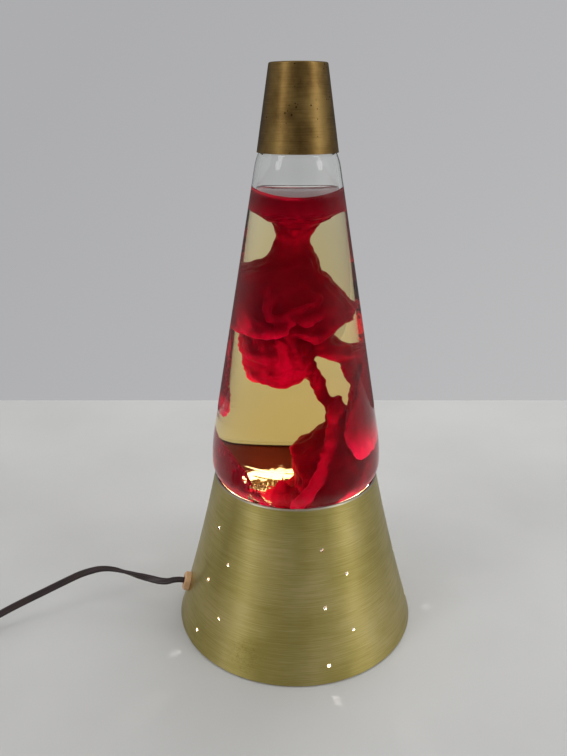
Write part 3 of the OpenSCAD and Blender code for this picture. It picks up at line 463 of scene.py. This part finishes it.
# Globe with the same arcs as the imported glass, for the liquid and the wax; points are a radius and a height
def arc(centre, radius, start, end, count):
    turn = np.radians(np.linspace(start, end, count + 1))
    return np.asarray(centre) + radius * np.stack([np.cos(turn), np.sin(turn)], 1)


def bearing(degrees):
    """Unit vector of a profile's plane, from level outwards up to straight up at 90."""
    return np.array([math.cos(math.radians(degrees)), math.sin(math.radians(degrees))])


GLASS_T, FILL_Z, FLOOR_Z, SLOPE = 3.0, 328.0, 100.0, 9.84
DOME_R, DOME_RISE = (0, 15.6, 26), (3, 2.4, 0.6)
FOOT_Z, FOOT_R, TUCK = 108, 8, 42
HEEL_AT, HEEL_R = (43.1, 135.9), 19.2
BROAD_AT, BROAD_R = (-62.7, 135.9), 125
broad_top = np.array(BROAD_AT) + BROAD_R * bearing(SLOPE)
heel_low = np.array(HEEL_AT) + HEEL_R * bearing(-TUCK)
foot_end = FOOT_R * bearing(-TUCK)
foot_x = heel_low[0] - (heel_low[1] - (FOOT_Z + foot_end[1])) * math.tan(math.radians(TUCK)) - foot_end[0]


def globe_profile(inset, top):
    """The globe's wall from the centre of the floor up to a height, moved inwards."""
    slope = math.radians(SLOPE)
    cone_z = np.append(np.linspace(broad_top[1], top - 1, 18)[1:], top)
    cone_r = broad_top[0] - (cone_z - broad_top[1]) * math.tan(slope) - inset / math.cos(slope)
    return np.vstack([
        [(max(r, 0.01), FLOOR_Z + up + inset) for r, up in zip(DOME_R, DOME_RISE)],
        arc((foot_x, FOOT_Z), FOOT_R - inset, -90, -TUCK, 8), arc(HEEL_AT, HEEL_R - inset, -TUCK, 0, 16),
        arc(BROAD_AT, BROAD_R - inset, SLOPE / 8, SLOPE, 8), np.stack([cone_r, cone_z], 1)])


# The liquid stands a little way into the glass so that no air shows between them, and climbs the wall at its
# top. The top isn't level: wax on it stands higher at the sides and lower in front.
LIQUID_SIDES, TOP_R = 160, 27.5
wet = globe_profile(GLASS_T - 0.3, FILL_Z + 1.1)
rim_r = wet[-1, 0]
wet = np.vstack([wet, [
    (rim_r - 0.35, FILL_Z + 1.0), (rim_r - 0.9, FILL_Z + 0.45), (rim_r - 1.9, FILL_Z + 0.12),
    (rim_r - 3.5, FILL_Z), (rim_r - 8, FILL_Z), (0.01, FILL_Z)]])


def surface_rise(x, y):
    return 2.3 * (x / TOP_R) ** 2 - 1.4 * np.clip(-y / TOP_R, 0, 1) ** 2


liquid_points = spun(wet, LIQUID_SIDES)
top_share = np.clip((liquid_points[:, 2] - (FILL_Z - 4)) / 4, 0, 1)
liquid_points[:, 2] += top_share * surface_rise(liquid_points[:, 0], liquid_points[:, 1])
liquid = mesh_piece("liquid_fill", liquid_points, grid_faces(len(wet), LIQUID_SIDES), amber_liquid, "globe")
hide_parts("liquid")

# Wax: a field of rounded masses, sheets and strands, skinned to a mesh
STEP = 1.25
gx = np.arange(-58, 58.1, STEP)[:, None, None]
gy = np.arange(-58, 58.1, STEP)[None, :, None]
gz = np.arange(101, FILL_Z + 2, STEP)[None, None, :]
NOISE_CELLS = 24


def value_noise(x, y, z, size, seed):
    """Smooth noise of -1 to 1 with lumps of a size in mm."""
    table = np.random.default_rng(seed).uniform(-1, 1, (NOISE_CELLS, NOISE_CELLS, NOISE_CELLS))
    parts = []
    for v in np.broadcast_arrays(x / size, y / size, z / size):
        cell = np.floor(v).astype(int)
        t = v - cell
        parts.append((cell % NOISE_CELLS, (cell + 1) % NOISE_CELLS, t * t * (3 - 2 * t)))
    (x0, x1, tx), (y0, y1, ty), (z0, z1, tz) = parts
    near = (table[x0, y0, z0] * (1 - tx) + table[x1, y0, z0] * tx) * (1 - ty) \
        + (table[x0, y1, z0] * (1 - tx) + table[x1, y1, z0] * tx) * ty
    far = (table[x0, y0, z1] * (1 - tx) + table[x1, y0, z1] * tx) * (1 - ty) \
        + (table[x0, y1, z1] * (1 - tx) + table[x1, y1, z1] * tx) * ty
    return near * (1 - tz) + far * tz


# The grid is warped before the forms are made on it, so that their edges waver
warp = [0.9 * value_noise(gx, gy, gz, 14, 11 + i) + 0.8 * value_noise(gx, gy, gz, 5, 21 + i)
        + 0.6 * value_noise(gx, gy, gz, 2.8, 41 + i) for i in range(3)]
X, Y, Z = gx + warp[0], gy + warp[1], gz + warp[2]
wall = globe_profile(GLASS_T, FILL_Z + 3)
wall_z, wall_r = wall[3:, 1], wall[3:, 0]
PAST_WALL = 70


def inner_r(z):
    return np.interp(z, wall_z, wall_r)


def melt(a, b, soft):
    """Two fields joined as melted wax joins, over a fillet of a soft width in mm."""
    h = np.clip(0.5 + 0.5 * (b - a) / soft, 0, 1)
    return b * (1 - h) + a * h - soft * h * (1 - h)


def loft(rows):
    """Mass of elliptic slices. Rows are height, left, right, middle depth, half depth."""
    rows = np.asarray(sorted(rows), float)
    left, right, mid, deep = [np.interp(Z, rows[:, 0], rows[:, i]) for i in (1, 2, 3, 4)]
    limit = inner_r(Z) + 3
    left, right = np.maximum(left, -limit), np.minimum(right, limit)
    half = np.maximum((right - left) / 2, 0.5)
    out = np.sqrt(((X - (left + right) / 2) / half) ** 2 + ((Y - mid) / deep) ** 2)
    side = (out - 1) * np.minimum(half, deep)
    return np.maximum(side, np.maximum(rows[0, 0] - Z, Z - rows[-1, 0]))


ROPE_REACH = 14


def rope(rows):
    """Strand or lip through points of x, y, z and radius."""
    best = np.full(X.shape, 1e3)
    for a, b in zip(np.asarray(rows, float), np.asarray(rows[1:], float)):
        ab = b[:3] - a[:3]
        low = np.minimum(a[:3], b[:3]) - ROPE_REACH
        high = np.maximum(a[:3], b[:3]) + ROPE_REACH
        box = tuple(slice(*np.searchsorted(axis.ravel(), ends))
                    for axis, ends in zip((gx, gy, gz), zip(low, high)))
        x, y, z = X[box] - a[0], Y[box] - a[1], Z[box] - a[2]
        t = np.clip((x * ab[0] + y * ab[1] + z * ab[2]) / (ab @ ab), 0, 1)
        far = np.sqrt((x - t * ab[0]) ** 2 + (y - t * ab[1]) ** 2 + (z - t * ab[2]) ** 2)
        best[box] = np.minimum(best[box], far - (a[3] + (b[3] - a[3]) * t))
    return best


def wall_film(rows, thick):
    """Film on the glass. Rows are height, first and last bearing in degrees from +X."""
    rows = np.asarray(sorted(rows), float)
    start, end = [np.interp(Z, rows[:, 0], rows[:, i]) for i in (1, 2)]
    radius = np.hypot(X, Y)
    off = (np.degrees(np.arctan2(Y, X)) - (start + end) / 2 + 180) % 360 - 180
    side = (np.abs(off) - (end - start) / 2) * math.pi / 180 * radius
    depth = inner_r(Z) - radius
    return np.maximum(np.maximum(side, depth - thick), np.maximum(rows[0, 0] - Z, Z - rows[-1, 0]))


# Masses down the middle, from the liquid's top to the pool, and films on the glass at both sides
upper = loft([
    (332, -PAST_WALL, PAST_WALL, 0, 60), (318, -PAST_WALL, PAST_WALL, 0, 60), (316.3, -28, 27, 0, 29),
    (313.6, -21.4, 21.5, 0, 22), (311.2, -17, 17, 0, 17), (308, -12.7, 12.1, 0, 12),
    (304.5, -12.2, 8.8, 0, 10), (298, -11.6, 5.9, 0, 9), (294, -11.8, 6, 0, 10), (290, -13, 6.9, 0, 12),
    (286, -15, 9.2, 0, 15), (283, -17.5, 10.6, 0, 18), (280.5, -20.6, 11.6, 0, 19),
    (278, -25, 12.4, 0, 20), (276, -31, 13.2, -1, 21), (274.4, -PAST_WALL, 14, -1, 22),
    (271, -PAST_WALL, 16.6, -1, 24), (268, -PAST_WALL, 17.2, -2, 25), (262.5, -PAST_WALL, 22.5, -2, 26),
    (257, -PAST_WALL, 26, -2, 26), (255.5, -PAST_WALL, 28, -2, 26), (249, -PAST_WALL, 34, -2, 26),
    (245, -PAST_WALL, 31, -2, 26), (241.5, -PAST_WALL, 29.5, -2, 26), (239, -PAST_WALL, 23.8, -2, 26),
    (236, -42, 20, -2, 24), (234.5, -34, 19, -2, 22)])
lobe = loft([
    (237, -27, 12, -2, 15), (233, -26.6, 13, -3, 17), (229, -30.4, 12, -3, 18), (227, -32, 12, -3, 18),
    (223.6, -31, 11, -3, 18), (221.2, -33.3, 10, -3, 18), (217.5, -30.8, 9, -3, 18),
    (212, -29.4, 7.8, -3, 17), (205, -28, 6.5, -3, 15), (200.6, -26.4, 4.2, -3, 13),
    (199, -25.3, 2.4, -2, 12), (198, -18.5, 1, -2, 10), (195, -14.6, -3, -1, 7),
    (193.4, -11.5, -6.5, -1, 4)])
band = loft([
    (238, 3, 16.5, -4, 11), (232, 2, 18, -4, 13), (229, 2, 20, -3, 13), (225.5, 3, 24.3, -2, 13),
    (222.4, 4, 29.5, -2, 14), (220.2, 5, 37, -1, 16), (219.4, 6, PAST_WALL, 0, 18),
    (218.4, 9, PAST_WALL, 0, 18), (217, 12, PAST_WALL, 0, 18), (215.6, 17, PAST_WALL, 0, 18),
    (214.6, 21, PAST_WALL, 0, 18)])
strand = rope([
    (2.5, -17, 235, 4.4), (4, -12, 225, 4.5), (6, -8, 213, 4), (8.8, -6, 203, 4.4), (12, -4, 195, 4),
    (14.2, -2, 185, 3.6), (16.6, -1, 179, 2.7), (18.2, 0, 172, 2.6), (19, 0, 168, 3)])
side = loft([
    (216, 25, 42, 0, 18), (213, 23, 39, 0, 22), (209, 24.6, 38.4, 0, 23), (204, 26.8, 37.8, 0, 24),
    (198.5, 31.4, 39, 0, 25), (191, 30, 40.5, 0, 26), (187.5, 28.4, PAST_WALL, 0, 27),
    (184, 27.4, PAST_WALL, 0, 28), (178, 26.9, PAST_WALL, 0, 29), (174, 26.5, PAST_WALL, 0, 30),
    (152, 25, PAST_WALL, 0, 32)])
low_mass = loft([
    (185.6, 20.2, 21.8, -1, 2), (184.6, 19, 23.4, -1, 5), (182, 18.2, 24, -2, 7),
    (178.2, 17.6, 25.2, -2, 9), (174.5, 16.6, 25.8, -2, 12), (171, 17.2, PAST_WALL, -2, 15),
    (165.4, 14.4, PAST_WALL, -2, 19), (160.4, 9.4, PAST_WALL, -2, 23), (158, 8, PAST_WALL, -2, 24),
    (155.2, 4.6, PAST_WALL, -2, 26), (151.4, 0, PAST_WALL, -2, 29), (148, -2.6, PAST_WALL, -2, 31),
    (141.6, -1.6, PAST_WALL, -2, 35), (134, -1.6, PAST_WALL, -2, 39), (126, 0, PAST_WALL, -2, 42),
    (119, 1, PAST_WALL, -2, 44), (112, -10, PAST_WALL, -2, 44), (104, -16, PAST_WALL, -2, 44)])
knob_ridge = rope([
    (21, -3, 181.5, 3.6), (22, -9, 176, 4), (22.5, -14, 169.5, 4.2), (21.5, -20, 160, 4.4),
    (19.5, -26, 153, 4.4), (16.5, -31, 146, 4.4), (14.5, -36, 139, 4.4), (11, -40, 133, 4.2),
    (5.5, -43, 127.5, 4), (-0.5, -46, 124, 3.4)])
left_peak = rope([(-9, 0, 108, 4.5), (-7.6, 0, 114, 4.2), (-6.7, 0, 120.5, 2.5), (-6.4, 0, 125.5, 0.8)])
peak_foot = rope([(-7, 0, 117, 2.6), (1, 0, 113.5, 3)])
right_thread = wall_film([(248, -9, -3), (240, -13, 3), (230, -15, 6), (216, -18, 10)], 1.4)
tongue = wall_film([
    (218, -16, 10), (205, -30, 14), (196, -38, 12), (185, -47, 12), (174, -54, 10), (163, -51, 6),
    (157, -47.5, -6), (153, -44.5, -15), (151, -42.5, -28), (149.8, -40, -34)], 3.6)
back_film = wall_film([(213, 8, 20), (205, 8, 40), (180, 8, 50), (150, 0, 60), (104, -20, 64)], 4)
left_film = wall_film([
    (217, -190, -159), (214, -190, -156.5), (203, -190, -156), (196, -190, -153.5), (190, -188, -151),
    (186, -185, -149.5), (182, -182, -148.5), (178.5, -174, -152), (175.5, -166, -158)], 2.2)
left_thread = wall_film([(250, -192, -172), (232, -192, -167), (217, -192, -161)], 1.3)
left_bank = wall_film([
    (161, -212, -170), (158.5, -212, -151.7), (153.7, -210, -137.8), (147.3, -208, -127),
    (142, -206, -122), (136.6, -206, -117.5), (131.5, -204, -113.4), (122, -204, -108), (112, -204, -102),
    (103, -204, -96)], 2)
wax = upper
for form, soft in (
        (lobe, 2.5), (band, 2), (strand, 1.5), (side, 2), (low_mass, 1.5), (knob_ridge, 2), (left_peak, 2),
        (peak_foot, 1.5), (back_film, 2), (right_thread, 0.8), (tongue, 0.8), (left_film, 1),
        (left_thread, 0.8), (left_bank, 1.5)):
    wax = melt(wax, form, soft)

# Folds in front: lips that hang, cross and turn under on the upper mass, then on the lobe, with grooves
FOLDS = (
    [(-36, -16, 248, 3.2), (-34.5, -22, 243.5, 3.4), (-31.5, -26, 241.5, 3.4), (-27, -29, 239.5, 3.4),
     (-21.5, -31, 240, 3.4), (-17, -32, 240.5, 3.2), (-13, -32, 240, 3.2), (-8, -31, 242.5, 3),
     (-3, -30, 247.5, 2.8)],
    [(-33.5, -20, 253, 2.2), (-31.5, -24, 251, 2.4), (-27.5, -28, 247.5, 2.4), (-23, -31, 244, 2.4)],
    [(-7.5, -31, 249.5, 2.6), (-2, -31, 253.5, 3), (3.5, -29, 256.5, 2.8), (8.5, -25.5, 259.5, 2),
     (12.5, -22, 262, 1)],
    [(-17.5, -27, 270, 1.4), (-17, -28, 262.5, 1.8), (-19, -30, 257.5, 2.2), (-17.5, -31, 252.5, 2.4),
     (-11.5, -31, 251, 2.4), (-6.5, -31, 252, 2.2)],
    [(-7.5, -31, 248, 2.6), (-2, -31, 248, 3), (3.5, -30, 247.5, 3), (10, -26, 250.5, 3),
     (14.5, -23, 253, 2.4), (22, -18, 252, 1)],
    [(-3, -28, 244, 2.6), (1.5, -27, 240, 3), (6.5, -25, 236.5, 3), (12, -22, 234, 3), (17, -18, 238, 2.6),
     (24, -14, 243, 2.4)],
    [(-27.5, -14, 233, 2), (-29.5, -16, 227.5, 2.4), (-26.5, -18, 222.5, 2.8), (-19, -20, 218.5, 2.8),
     (-12, -20, 219.5, 2.4)],
    [(-23.5, -20, 237.5, 2.4), (-21.5, -21, 231, 2.6), (-21, -20, 224, 2.2)],
    [(-6, -22, 238.5, 3), (-3.5, -22, 231, 3), (-0.5, -20, 222.5, 3), (1.5, -17, 214, 2.6)],
    [(-24, -14, 205, 2.2), (-15, -15, 201, 2.4), (-8, -13, 199, 2.2), (-1, -12, 204, 2)],
    [(-13, -20, 230, 2), (-13.5, -21, 222, 2.2), (-12, -19, 212, 1.8)])
GROOVES = (
    [(-20, -34, 245.5, 2.4), (-14, -35, 245.5, 3), (-8, -34, 246, 2.4)],
    [(-2, -33, 251.5, 1.6), (4, -32, 252.5, 2), (11, -29, 257, 1.8)],
    [(-4, -30, 241.5, 1.8), (0, -30, 243.5, 2.2), (5, -28, 242, 2)],
    [(-29, -31, 246, 1.8), (-24, -33.5, 242.5, 1.6)],
    [(-10, -24, 237, 2.2), (-9, -24, 228, 2.2), (-7, -22, 216, 1.8)],
    [(-26, -19, 231, 1.8), (-25, -20, 227, 2)])
for rows in FOLDS:
    wax = melt(wax, rope(rows) - 0.3, 4)
for rows in GROOVES:
    wax = -melt(-wax, rope(rows) - 0.5, 2.6)

# Pool on the floor: its bank rises to the glass, and it is open at the back left, where the base shows
# through. The gap is a bearing and half a width in degrees, and starts at a radius.
GAP_AT, GAP_HALF, GAP_FROM = 112, 30, 22
radius = np.hypot(X, Y)
pool = Z - np.interp(radius, (0, 14, 20, 26, 36, 44, 56), (106.4, 106.9, 108.2, 109.6, 111.3, 114, 121))
gap_side = np.abs((np.degrees(np.arctan2(Y, X)) - GAP_AT + 180) % 360 - 180) - GAP_HALF
pool = np.maximum(pool, -np.maximum(gap_side * math.pi / 180 * radius, GAP_FROM - radius))
wax = melt(wax, pool, 2)

# Lumps, less on the glass; then room for the glass, the floor, the liquid's top and the heating coil
HEATER_R, HEATER_Z, HEATER_WIND, HEATER_LOOPS, HEATER_WIRE = 31, 106.1, 2.4, 84, 0.32
real_r = np.hypot(gx, gy)
lumps = 0.9 * value_noise(gx, gy, gz, 6.5, 31) + 0.7 * value_noise(gx, gy, gz, 3.2, 32)
wax = wax + lumps * np.clip((inner_r(gz) - real_r) / 5, 0.25, 1)
wax = np.maximum(wax, real_r - (inner_r(gz) - 0.5))
wax = np.maximum(wax, FLOOR_Z + GLASS_T + 0.4 + np.interp(real_r, DOME_R, DOME_RISE) - gz)
wax = np.maximum(wax, gz - (FILL_Z - 0.5 + surface_rise(gx, gy)))
wax = np.maximum(wax, HEATER_WIND + 1 - np.hypot(real_r - HEATER_R, gz - HEATER_Z))


def skinned(field, low, step):
    """Points and quads of the surface where a field on a grid changes sign, negative inside."""
    shape = np.array(field.shape) - 1
    total, count = np.zeros((*shape, 3)), np.zeros(shape)
    index = np.indices(field.shape).astype(float)
    crossings = []
    for axis in range(3):
        lo = [slice(None)] * 3
        hi = [slice(None)] * 3
        lo[axis], hi[axis] = slice(None, -1), slice(1, None)
        a, b = field[tuple(lo)], field[tuple(hi)]
        cross = (a < 0) != (b < 0)
        t = np.where(cross, a / np.where(cross, a - b, 1), 0)
        spot = np.stack([index[i][tuple(lo)] + (t if i == axis else 0) for i in range(3)], -1)
        others = [i for i in range(3) if i != axis]
        for s in (0, 1):
            for r in (0, 1):
                cut = [slice(None)] * 3
                cut[others[0]] = slice(None, -1) if s == 0 else slice(1, None)
                cut[others[1]] = slice(None, -1) if r == 0 else slice(1, None)
                hit = cross[tuple(cut)]
                total += spot[tuple(cut)] * hit[..., None]
                count += hit
        crossings.append((cross, a < 0))
    used = count > 0
    number = np.full(shape, -1)
    number[used] = np.arange(used.sum())
    points = low + step * total[used] / count[used][:, None]
    quads = []
    for axis, (cross, start_in) in enumerate(crossings):
        others = [i for i in range(3) if i != axis]
        inner = np.zeros(cross.shape, bool)
        keep = [slice(None)] * 3
        keep[others[0]] = slice(1, -1)
        keep[others[1]] = slice(1, -1)
        inner[tuple(keep)] = True
        at = np.argwhere(cross & inner)
        one, two = np.eye(3, dtype=int)[others[0]], np.eye(3, dtype=int)[others[1]]
        ring = [number[tuple((at - s * one - r * two).T)] for s, r in ((1, 1), (0, 1), (0, 0), (1, 0))]
        face = np.stack(ring, 1)
        flip = ~start_in[tuple(at.T)] if axis != 1 else start_in[tuple(at.T)]
        face[flip] = face[flip][:, ::-1]
        quads.append(face)
    return points, np.vstack(quads)


field = np.pad(wax, 1, constant_values=5.0)
grid_low = np.array([gx.min(), gy.min(), gz.min()]) - STEP
points, quads = skinned(field, grid_low, STEP)
wax_piece = mesh_piece("wax_mass", points, quads.tolist(), red_wax, "globe")
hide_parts("wax")


def read_field(values, at):
    cell = np.clip(np.round((at - grid_low) / STEP).astype(int), 0, np.array(values.shape) - 1)
    return values[tuple(cell.T)]


def softened(values, reach):
    """Running mean over a cube of cells."""
    for axis in range(3):
        total = np.cumsum(np.concatenate([np.repeat(np.take(values, [0], axis), reach + 1, axis), values,
                                          np.repeat(np.take(values, [-1], axis), reach, axis)], axis), axis)
        width = 2 * reach + 1
        ahead = np.take(total, np.arange(width, total.shape[axis]), axis)
        behind = np.take(total, np.arange(0, total.shape[axis] - width), axis)
        values = (ahead - behind) / width
    return values


def rise(value, start, end):
    """0 up to start and 1 past end; start may be the larger."""
    return np.clip((value - start) / (end - start), 0, 1)


def near(form, reach):
    """1 on the wax's surface where a form makes it, 0 elsewhere."""
    return rise(read_field(np.pad(form, 1, mode="edge"), points), reach, reach - 1.5)


# Light that the bulb sends up through the wax: less behind more wax, more on faces turned to the bulb and in
# thin lips
BULB_SPOTS = ((0, 0, 84), (22, -8, 96), (-20, -12, 96), (0, 24, 96))
WAX_REACH, PATH_STEPS = 9.0, 40
soaked = np.zeros(len(points))
solid = np.clip(0.5 - field / STEP, 0, 1)
shallow = np.clip(field, -6, 6)
body = softened(shallow, round(2.5 / STEP))
facing = unit(np.stack([read_field(slope, points) for slope in np.gradient(body)], -1))
for spot in BULB_SPOTS:
    way = points - spot
    far = np.linalg.norm(way, axis=1)
    shares = (np.arange(PATH_STEPS) + 0.5) / PATH_STEPS * 0.985
    inside = sum(read_field(solid, spot + way * t) for t in shares) / PATH_STEPS * far
    turned = np.clip((0.4 - (facing * way).sum(1) / far) / 1.4, 0, 1)
    soaked += np.exp(-inside / WAX_REACH) * (70 / far) ** 0.6 * (0.3 + 0.7 * turned) / len(BULB_SPOTS)
thin = rise(read_field(softened(shallow, round(5 / STEP)), points), -0.8, 2.2)
x, height = points[:, 0], points[:, 2]
glow = 1.6 * soaked * (0.7 + 0.5 * thin)
glow += 0.28 * thin * np.interp(height, (110, 240, 275, 330), (0.9, 0.8, 0.25, 0.1))

# Forms that the bulb lights more or less than the rest: how near the surface is, heights, and what each adds
left_fold = rope([(-38, -13, 262, 4), (-36, -17, 252, 5.5), (-32, -23, 244, 5.5)])
for form, reach, heights, levels in (
        (lobe, 1.5, (190, 232, 240), (0.33, 0.3, 0.06)),
        (strand, 1, (170, 190, 235), (0, -0.1, -0.06)),
        (knob_ridge, 0.8, (120, 150, 178, 184), (0.3, 0.2, 0.35, 0.1)),
        (tongue, 0.8, (150, 158, 166, 175, 205), (0.62, 0.52, 0.2, 0.02, -0.06)),
        (low_mass, 1, (104, 112, 116, 126, 150, 168), (0.5, 0.32, 0.1, -0.1, -0.14, -0.04)),
        (left_fold, 2, (236, 248, 258), (0.2, 0.16, 0.02)),
        (pool, 1, (104, 118, 124), (0.46, 0.4, 0)),
        (upper, 1, (286, 296, 311, 317, 324), (0, 0.22, 0.27, 0.13, 0.02))):
    glow += near(form, reach) * np.interp(height, heights, levels)
glow *= 1 - near(left_bank, 1) * np.interp(height, (104, 116, 122), (0.2, 0.5, 0.72))
glow *= 1 - near(left_film, 1) * np.interp(height, (186, 191), (0, 0.75))

# More painted glow against the glass, standing for the bulb's light: a bright slanting band low at the right,
# a fainter one over it, and the heel; and the line at the liquid's top, a painted highlight on the meniscus
on_wall = rise(np.hypot(x, points[:, 1]) - inner_r(height), -4, -2.5)
band_top = 141 - 0.4 * (x - 9)
skin_top = FILL_Z - 1.3 + surface_rise(x, points[:, 1])
glow += on_wall * (0.42 * rise(height, band_top, band_top - 1.5) * rise(x, 2, 6)
                   + 0.16 * rise(x, 14, 22) * rise(height, 168, 154)
                   + 0.45 * rise(height, 132, 127)
                   + 0.28 * rise(height, skin_top, skin_top + 0.5) * rise(x, 5, 1))
wax_piece.data.attributes.new("glow", "FLOAT", "POINT").data.foreach_set("value", np.clip(glow, 0, 1))

# Heating coil of wound wire
wound = np.linspace(0, 2 * math.pi * HEATER_LOOPS, HEATER_LOOPS * 12)
around = wound / HEATER_LOOPS
reach = HEATER_R + HEATER_WIND * np.cos(wound)
coil_line = np.stack([reach * np.cos(around), reach * np.sin(around), HEATER_Z + HEATER_WIND * np.sin(wound),
                      np.zeros_like(wound)], 1)
wire_turn = np.radians(np.arange(0, 360, 60))
coil_points, coil_faces = swept(coil_line, HEATER_WIRE * np.stack([np.cos(wire_turn), np.sin(wire_turn)], 1))
heater = mesh_piece("wound_heating_coil", coil_points, coil_faces, wire, "globe")
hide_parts("heating_coil")

# Pale table, with its back edge in front of the wall
SIDE, BACK, TABLE_Z = 3000, 426, -0.2
table_top, tree = new_material("pale_table")
cloud = add(tree, "TexNoise", {"Vector": add(tree, "TexCoord", output="Object"), "Scale": 6, "Detail": 5})
tint = add(tree, "ValToRGB", cloud, stops=((0.3, "#c2c2c1"), (0.7, "#cacac9")))
add(tree, "OutputMaterial", add(tree, "BsdfPrincipled", {
    "Base Color": tint, "Roughness": 0.5, "Specular IOR Level": 0.2}))
corners = [(x, y, TABLE_Z) for x, y in ((-SIDE, -SIDE), (SIDE, -SIDE), (SIDE, BACK), (-SIDE, BACK))]
table = mesh_piece("table", corners, [(0, 1, 2, 3)], table_top)

# The studio: an even pale room, brighter above and in two tall soft panels at the front left and front right,
# darker where the camera stands. Panels are a bearing from the camera's side towards the right, half a width
# in degrees, and a brightness. Four small lamps, given by their directions, make the neck's highlights.
ROOM_LEVEL, TOP_LEVEL = 0.35, 0.78
PANELS = ((-51, 10, 0.15), (70, 12, 1.0), (-1, 8, -0.45))
LAMPS = ((-0.77, -0.52, 0.37), (-0.64, -0.43, 0.64), (0.83, -0.42, 0.37), (0.68, -0.35, 0.64))
LAMP_LEVEL, LAMP_EDGE, LAMP_CORE = 3.2, 0.985, 0.993
world = bpy.data.worlds.new("studio")
scene.world = world
world.use_nodes = True
sky = world.node_tree
sky.nodes.clear()
ray = add(sky, "TexCoord", output="Generated")
flat = add(sky, "VectorMath", ray, (1, 1, 0), operation="MULTIPLY")
flat = add(sky, "VectorMath", flat, operation="NORMALIZE")


def shone(light, way, towards, edge, core, gain):
    """Light with a soft-edged patch added; edge and core are cosines of the angle from its middle."""
    dot = add(sky, "VectorMath", way, towards, operation="DOT_PRODUCT", output="Value")
    patch = add(sky, "MapRange", dot, edge, core, 0, gain, interpolation_type="SMOOTHSTEP")
    return add(sky, "Math", light, patch, operation="ADD")


light = add(sky, "SeparateXYZ", ray, output="Z")
light = add(sky, "MapRange", light, 0.2, 1, ROOM_LEVEL, TOP_LEVEL)
for degrees, half_width, gain in PANELS:
    turn, edge = math.radians(degrees), math.cos(math.radians(half_width))
    light = shone(light, flat, (math.sin(turn), -math.cos(turn), 0), edge - 0.12, edge + 0.1, gain)
for towards in LAMPS:
    light = shone(light, ray, towards, LAMP_EDGE, LAMP_CORE, LAMP_LEVEL)

# Reflections find the wall behind the lamp a little darker. The camera, and what is seen through the glass,
# meet a plain grey, lighter towards the right.
in_gloss, in_view, in_glass = [add(sky, "LightPath", output=f"Is {kind} Ray")
                               for kind in ("Glossy", "Camera", "Transmission")]
behind = add(sky, "VectorMath", flat, (0, 1, 0), operation="DOT_PRODUCT", output="Value")
darker = add(sky, "MapRange", behind, 0.2, 0.9, 0, -0.25)
light = add(sky, "Math", darker, in_gloss, light, operation="MULTIPLY_ADD")
across = add(sky, "VectorMath", ray, (0.7, 0, -0.7), operation="DOT_PRODUCT", output="Value")
across = add(sky, "MapRange", across, -0.2, 0.6)
grey = add(sky, "ValToRGB", across, stops=((0, "#adadaf"), (0.55, "#b5b5b7"), (1, "#bebebf")))
seen = add(sky, "Math", in_view, in_glass, operation="MAXIMUM")
room = add(sky, "Background", "#ffffff", light)
backdrop = add(sky, "Background", grey, 1)
add(sky, "OutputWorld", add(sky, "MixShader", seen, room, backdrop))


def hung_light(name, kind, watts, place):
    """A light that isn't seen through glass, only what it lights."""
    lamp = bpy.data.objects.new(name, bpy.data.lights.new(name, kind))
    lamp.data.energy = watts
    lamp.location = place
    lamp.visible_transmission = False
    scene.collection.objects.link(lamp)
    return lamp


# Window light: large, soft, from behind on the right, so that the table darkens a little to the front left
window_light = hung_light("window_light", "AREA", 7.5, (0.55, 1.0, 1.2))
window_light.data.size = 1.2
window_light.rotation_euler = (math.radians(-43), 0, math.radians(-29))
window_light.visible_glossy = False

# The bulb's own light, warm white, at its filament
bulb_light = hung_light("bulb_light", "POINT", 2.6, (0, 0, 0.0755))
bulb_light.data.color = (1, 0.91, 0.86)
bulb_light.data.shadow_soft_size = 0.012

scene.view_settings.view_transform = "Standard"
scene.cycles.use_denoising = True
scene.cycles.transparent_max_bounces = 24
scene.cycles.transmission_bounces = 12
scene.cycles.max_bounces = 16
scene.cycles.sample_clamp_indirect = 6
